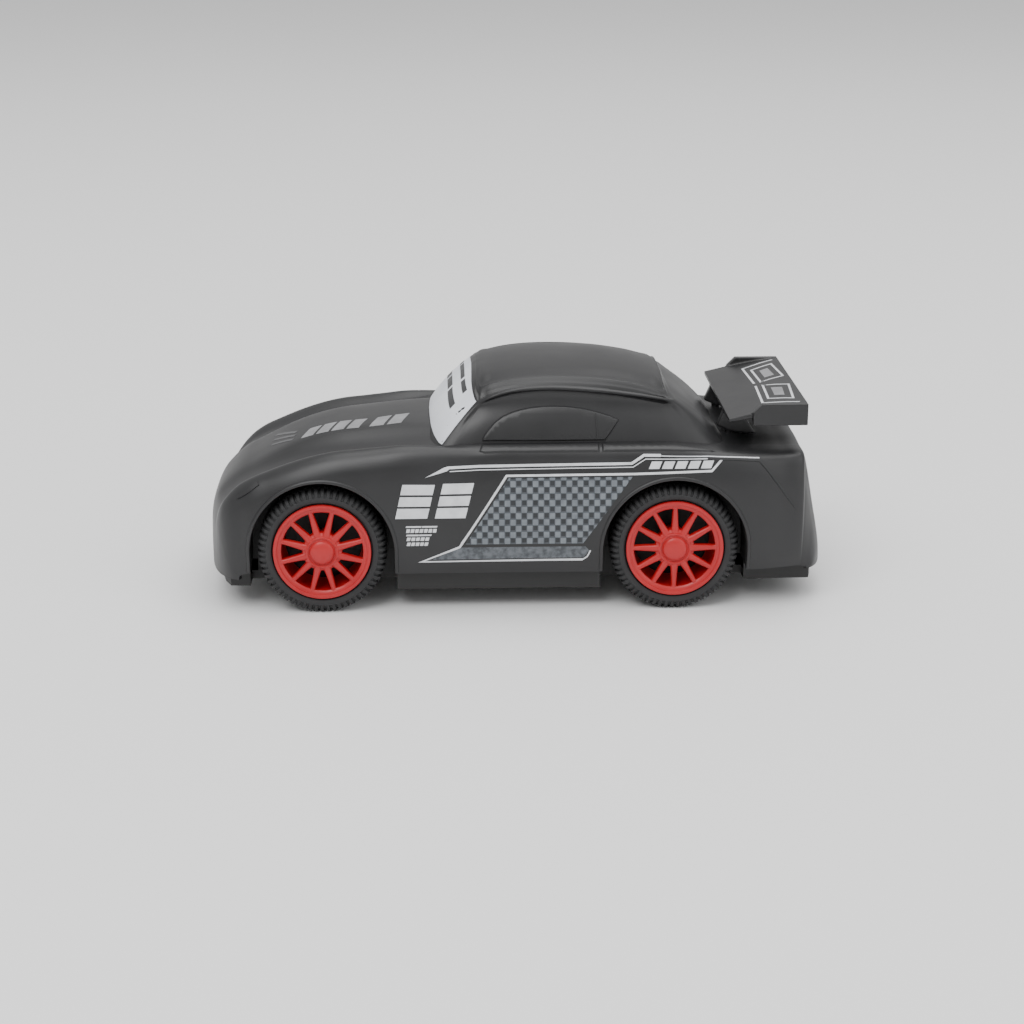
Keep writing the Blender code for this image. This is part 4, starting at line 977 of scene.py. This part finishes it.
def buildLiners():
    for number, (x, side) in enumerate(wheelCentres()):
        inside = arch["radius"] + liner["gap"]
        points = []
        for y in (liner["inner"], liner["outer"]):
            for radius in (inside, inside + liner["wall"]):
                line = [(-radius, liner["foot"] - axleZ)]
                line += [(-radius * cos(a), radius * sin(a)) for a in np.linspace(0, pi, 65)]
                line += [(radius, liner["foot"] - axleZ)]
                points.append([(x + px, side * y, axleZ + pz) for px, pz in line])
        rows = np.array([points[0], points[1], points[3], points[2]])
        count = rows.shape[1]
        flat = rows.reshape(-1, 3)
        faces = gridFaces(4, count) + [(3 * count + k, 3 * count + k + 1, k + 1, k) for k in range(count - 1)]
        faces += [(0, count, 2 * count, 3 * count), tuple(k * count + count - 1 for k in (3, 2, 1, 0))]
        sheet = meshFromArrays(f"wheelLiner{number}", flat, faces, chassisPlastic, None)
        ring = [(inside + 0.3) * np.array((cos(a), sin(a))) for a in np.linspace(pi, 0, 65)]
        foot = liner["foot"] - axleZ
        outer = [(-inside - 0.3, foot)] + [tuple(q) for q in ring] + [(inside + 0.3, foot)]
        turns = np.linspace(0, 2 * pi, 33)[:-1]
        hole = [(liner["axleHole"] * cos(a), liner["axleHole"] * sin(a)) for a in turns]
        edges = [(k, (k + 1) % len(outer)) for k in range(len(outer))]
        edges += [(len(outer) + k, len(outer) + (k + 1) % len(hole)) for k in range(len(hole))]
        verts, tris = triangulate(outer + hole, edges, [outer, hole])
        near = [(x + v[0], side * liner["inner"], axleZ + v[1]) for v in verts]
        far = [(x + v[0], side * (liner["inner"] - 0.4), axleZ + v[1]) for v in verts]
        solid = doubledFaces([tuple(f) for f in tris], len(verts))
        plate = meshFromArrays(f"wheelWall{number}", near + far, solid, chassisPlastic, None)
        for obj in (sheet, plate):
            faceOutwards(obj, None, 40)
            onBody(obj)


buildLiners()


# the wing again with its edges rounded
wing = {"grain": 0.2, "smoothing": 5}


def buildWing():
    source = frame["nodes"]["rear_wing"]
    bm = bmesh.new()
    bm.from_mesh(source.data)
    bm.transform(source.matrix_world)
    bmesh.ops.remove_doubles(bm, verts=bm.verts, dist=0.000001)
    obj = makeObject("wing", bm, bodyPlastic, False, None)
    even = obj.modifiers.new("even", "REMESH")
    even.mode = "VOXEL"
    even.voxel_size = wing["grain"] * mm
    even.use_smooth_shade = True
    rounded = obj.modifiers.new("rounded", "SMOOTH")
    rounded.factor = 0.5
    rounded.iterations = wing["smoothing"]
    applyBooleans(obj)
    obj.data.shade_smooth()
    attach(obj, carBody)
    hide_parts("rear_wing")
    tree = treeOf([obj])

    def onWing(x, y, _=0):
        return dropOn(tree, (x, y, roofTop + 10), (0, 0, -1))

    for label, flipped in (("Left", 1), ("Right", -1)):
        block = [(x, y * flipped) for x, y in topPrint["wingBlock"]]
        for name in ("wingMark", "wingFrame"):
            line = [(x, y * flipped) for x, y in topPrint[name]]
            skinPatch(name + label, [strokeLoop(line, 0.5)], onWing, 0, 0.04, silverPrint)
        skinPatch("wingBlock" + label, [block], onWing, 0, 0.04, greyPrint)


buildWing()
print("liners and wing done")


wheel = {
    "ringInner": 9.2, "spokes": 12, "spokeIn": 3.4, "spokeOut": 9.5, "spokeHub": 1.5, "spokeRim": 1.12,
    "lugs": 62, "lugDepth": 0.42, "turns": {"front": pi / 12, "rear": 0.0},
}


def turnedPiece(name, profile, material, steps=120, smooth=32, close=True):
    bm = bmesh.new()
    points = [bm.verts.new((r * mm, 0, o * mm)) for r, o in profile]
    pairs = list(zip(points, points[1:])) + ([(points[-1], points[0])] if close else [])
    for a, b in pairs:
        if a.co.x > 1e-9 or b.co.x > 1e-9:
            bm.edges.new((a, b))
    bmesh.ops.spin(bm, geom=bm.verts[:] + bm.edges[:], cent=(0, 0, 0), axis=(0, 0, 1), angle=2 * pi,
                   steps=steps, use_merge=True)
    bmesh.ops.remove_doubles(bm, verts=bm.verts, dist=0.000001)
    bmesh.ops.recalc_face_normals(bm, faces=bm.faces)
    return makeObject(name, bm, material, True, smooth)


def placeWheelPiece(obj, x, side, turn, rider):
    obj.data.transform(Matrix.Rotation(turn, 4, "Z"))
    obj.data.transform(Matrix.Rotation(-side * pi / 2, 4, "X"))
    obj.data.transform(Matrix.Translation(Vector((x, side * wheelFace, axleZ)) * mm))
    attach(obj, rider)


# the tyre profile is swept round with its shoulder pulled in between the lugs
def tyrePiece(name):
    r, w = tyreRadius, wheel
    profile = [
        (11.25, -1.6, 0), (11.25, -0.75, 0), (11.4, -0.4, 0), (11.75, -0.22, 0), (12.25, -0.12, 0),
        (12.6, -0.1, 0), (12.75, -0.2, 0.2), (13.1, -0.22, 0.9), (13.6, -0.38, 1), (14.05, -0.75, 1),
        (14.32, -1.25, 1), (r, -1.9, 1), (r, -2.6, 0.9), (r, -2.9, 0.1), (r, -tyreWidth / 2 - 0.2, 0),
        (r, -tyreWidth + 2.9, 0.1), (r, -tyreWidth + 2.6, 0.9), (r, -tyreWidth + 1.9, 1),
        (14.2, -tyreWidth + 1.0, 1), (13.4, -tyreWidth + 0.3, 0.6), (12.6, -tyreWidth + 0.1, 0),
        (10.6, -tyreWidth + 0.1, 0), (10.6, -1.6, 0)]
    wave = [0.0, 0.0, 0.0, 1.0, 1.0]
    steps = w["lugs"] * len(wave)
    phase = [0.0, 0.08, 0.5, 0.6, 0.92]
    points = []
    for k in range(steps):
        lug, part = divmod(k, len(wave))
        a = 2 * pi * (lug + phase[part]) / w["lugs"]
        pull = wave[part]
        for radius, out, share in profile:
            depth = pull * share * w["lugDepth"]
            rad = radius - depth
            axial = out - (depth * 0.45 if out > -2 else -depth * 0.45 if out < -tyreWidth + 2 else 0)
            points.append((rad * cos(a), rad * sin(a), axial))
    faces = []
    n = len(profile)
    for k in range(steps):
        m = (k + 1) % steps
        for q in range(n):
            faces.append((k * n + q, m * n + q, m * n + (q + 1) % n, k * n + (q + 1) % n))
    obj = meshFromArrays(name, points, faces, tyreRubber, None)
    faceOutwards(obj, None, 30)
    return obj


def rimPiece(name):
    w = wheel
    back = -tyreWidth + 0.4
    ring = [
        (11.0, -0.05), (10.92, 0.1), (10.7, 0.18), (10.35, 0.16), (10.15, 0.05), (10.05, -0.12),
        (9.75, -0.2),
        (9.5, -0.3), (w["ringInner"], -0.55), (w["ringInner"] - 0.02, -2.2), (9.0, -3.2), (8.7, back),
        (9.5, back), (9.5, -1.4), (10.6, -1.3), (10.98, -0.9)]
    hub = [
        (0, 0.95), (1.2, 0.9), (2.0, 0.74), (2.5, 0.5), (2.68, 0.3), (2.75, 0.02), (2.9, -0.12), (3.1, -0.1),
        (3.2, 0.12), (3.42, 0.2), (3.62, 0.1), (3.72, -0.15), (4.0, -0.3), (4.35, -0.5), (4.5, -0.9),
        (4.4, -2.6),
        (3.4, -3.0), (3.3, back + 0.6), (1.3, back + 0.6), (1.3, -2.4), (0, -2.4)]
    obj = turnedPiece(name, ring, rimPlastic, 144, 28)
    middle = turnedPiece(name + "Hub", hub, rimPlastic, 96, 28, False)
    section = [
        (-1.0, -1.5), (-1.0, -0.5), (-0.86, -0.17), (-0.55, 0.02), (-0.2, 0.1), (0.2, 0.1), (0.55, 0.02),
        (0.86, -0.17), (1.0, -0.5), (1.0, -1.5)]
    reach = np.array([w["spokeIn"], 4.2, 4.8, 5.6, 7.0, 8.4, 9.0, w["spokeOut"]])
    keyWidths = [w["spokeHub"] * 1.25, w["spokeHub"] * 1.1, w["spokeHub"], w["spokeRim"], w["spokeRim"] * 1.5]
    widths = np.interp(reach, [3.4, 4.4, 5.4, 9.0, 9.5], keyWidths)
    heights = np.interp(reach, [3.4, 4.4, 6.0, 9.5], [-0.05, -0.12, -0.28, -0.42])
    points, faces = [], []
    n = len(section)
    for k in range(w["spokes"]):
        a = 2 * pi * k / w["spokes"]
        start = len(points)
        for radius, width, height in zip(reach, widths, heights):
            for u, v in section:
                across, up = u * width / 2, height + v * 0.9
                points.append((radius * cos(a) - across * sin(a), radius * sin(a) + across * cos(a), up))
        rows = len(reach)
        for i in range(rows - 1):
            for q in range(n):
                near, far, m = start + i * n, start + (i + 1) * n, (q + 1) % n
                faces.append((near + q, far + q, far + m, near + m))
        faces.append(tuple(start + q for q in range(n)))
        faces.append(tuple(start + (rows - 1) * n + q for q in range(n))[::-1])
    spokes = meshFromArrays(name + "Spokes", points, faces, rimPlastic, None)
    faceOutwards(spokes, None, 50)
    return [obj, middle, spokes]


def buildWheels():
    places = [("front_left", frontX, -1, "front_wheels"), ("front_right", frontX, 1, "front_wheels"),
              ("rear_left", rearX, -1, "rear_wheels"), ("rear_right", rearX, 1, "rear_wheels")]
    for name, x, side, rider in places:
        turn = wheel["turns"][name.split("_")[0]]
        tyre = tyrePiece(name + "Tyre")
        placeWheelPiece(tyre, x, side, 0, rider)
        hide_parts(name + "_tyre")
        for number, part in enumerate(rimPiece(name + "Rim")):
            placeWheelPiece(part, x, side, turn + pi / 2, rider)
            if number == 0:
                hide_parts(name + "_rim")


buildWheels()
print("wheels done")


def finishCarried():
    looks = {"chassis_plastic": chassisPlastic, "black_plastic": bodyPlastic, "red_plastic": rimPlastic,
             "tyre": tyreRubber, "white_nylon": whiteNylon, "steel": steelMetal, "spring_steel": springMetal}
    for part in frame["record"]["subparts"]:
        node = frame["nodes"][part["node"]]
        if node.hide_render:
            continue
        node.data.materials.clear()
        node.data.materials.append(looks[part["material_slot"]])


finishCarried()


lights = {
    "keyLight": ((-0.5, -0.9, 1.3), 0.9, 16),
    "topLight": ((0.2, 0.15, 1.4), 1.3, 16),
    "fillLight": ((1.1, -0.8, 0.7), 1.0, 5),
}
camera = {"lens": 76.0, "pitch": 17.0, "yaw": 2.0, "place": (-17.6748, -489.5972, 164.5810)}


def buildStage():
    data = bpy.data.cameras.new("viewCamera")
    data.lens = camera["lens"]
    data.sensor_width = 36
    data.clip_start = 0.01
    data.clip_end = 20
    view = bpy.data.objects.new("viewCamera", data)
    bpy.context.scene.collection.objects.link(view)
    view.location = Vector(camera["place"]) * mm
    view.rotation_euler = (radians(90 - camera["pitch"]), 0, radians(-camera["yaw"]))
    bpy.context.scene.camera = view

    bpy.ops.mesh.primitive_plane_add(size=6, location=(0, 0, 0))
    floor = bpy.context.object
    floor.name = "studioFloor"
    material, nodes, links, shader = newMaterial("studio_floor")
    shader.inputs["Base Color"].default_value = (0.82, 0.82, 0.82, 1)
    shader.inputs["Roughness"].default_value = 0.6
    floor.data.materials.append(material)

    world = bpy.data.worlds.new("studioWorld")
    bpy.context.scene.world = world
    world.use_nodes = True
    world.node_tree.nodes["Background"].inputs["Color"].default_value = (1, 1, 1, 1)
    world.node_tree.nodes["Background"].inputs["Strength"].default_value = 0.75
    for name, (place, size, power) in lights.items():
        light = bpy.data.lights.new(name, "AREA")
        light.size = size
        light.energy = power
        lamp = bpy.data.objects.new(name, light)
        bpy.context.scene.collection.objects.link(lamp)
        lamp.location = place
        lamp.rotation_euler = (Vector((0, 0, 0.03)) - Vector(place)).to_track_quat("-Z", "Y").to_euler()


buildStage()
print("stage done")
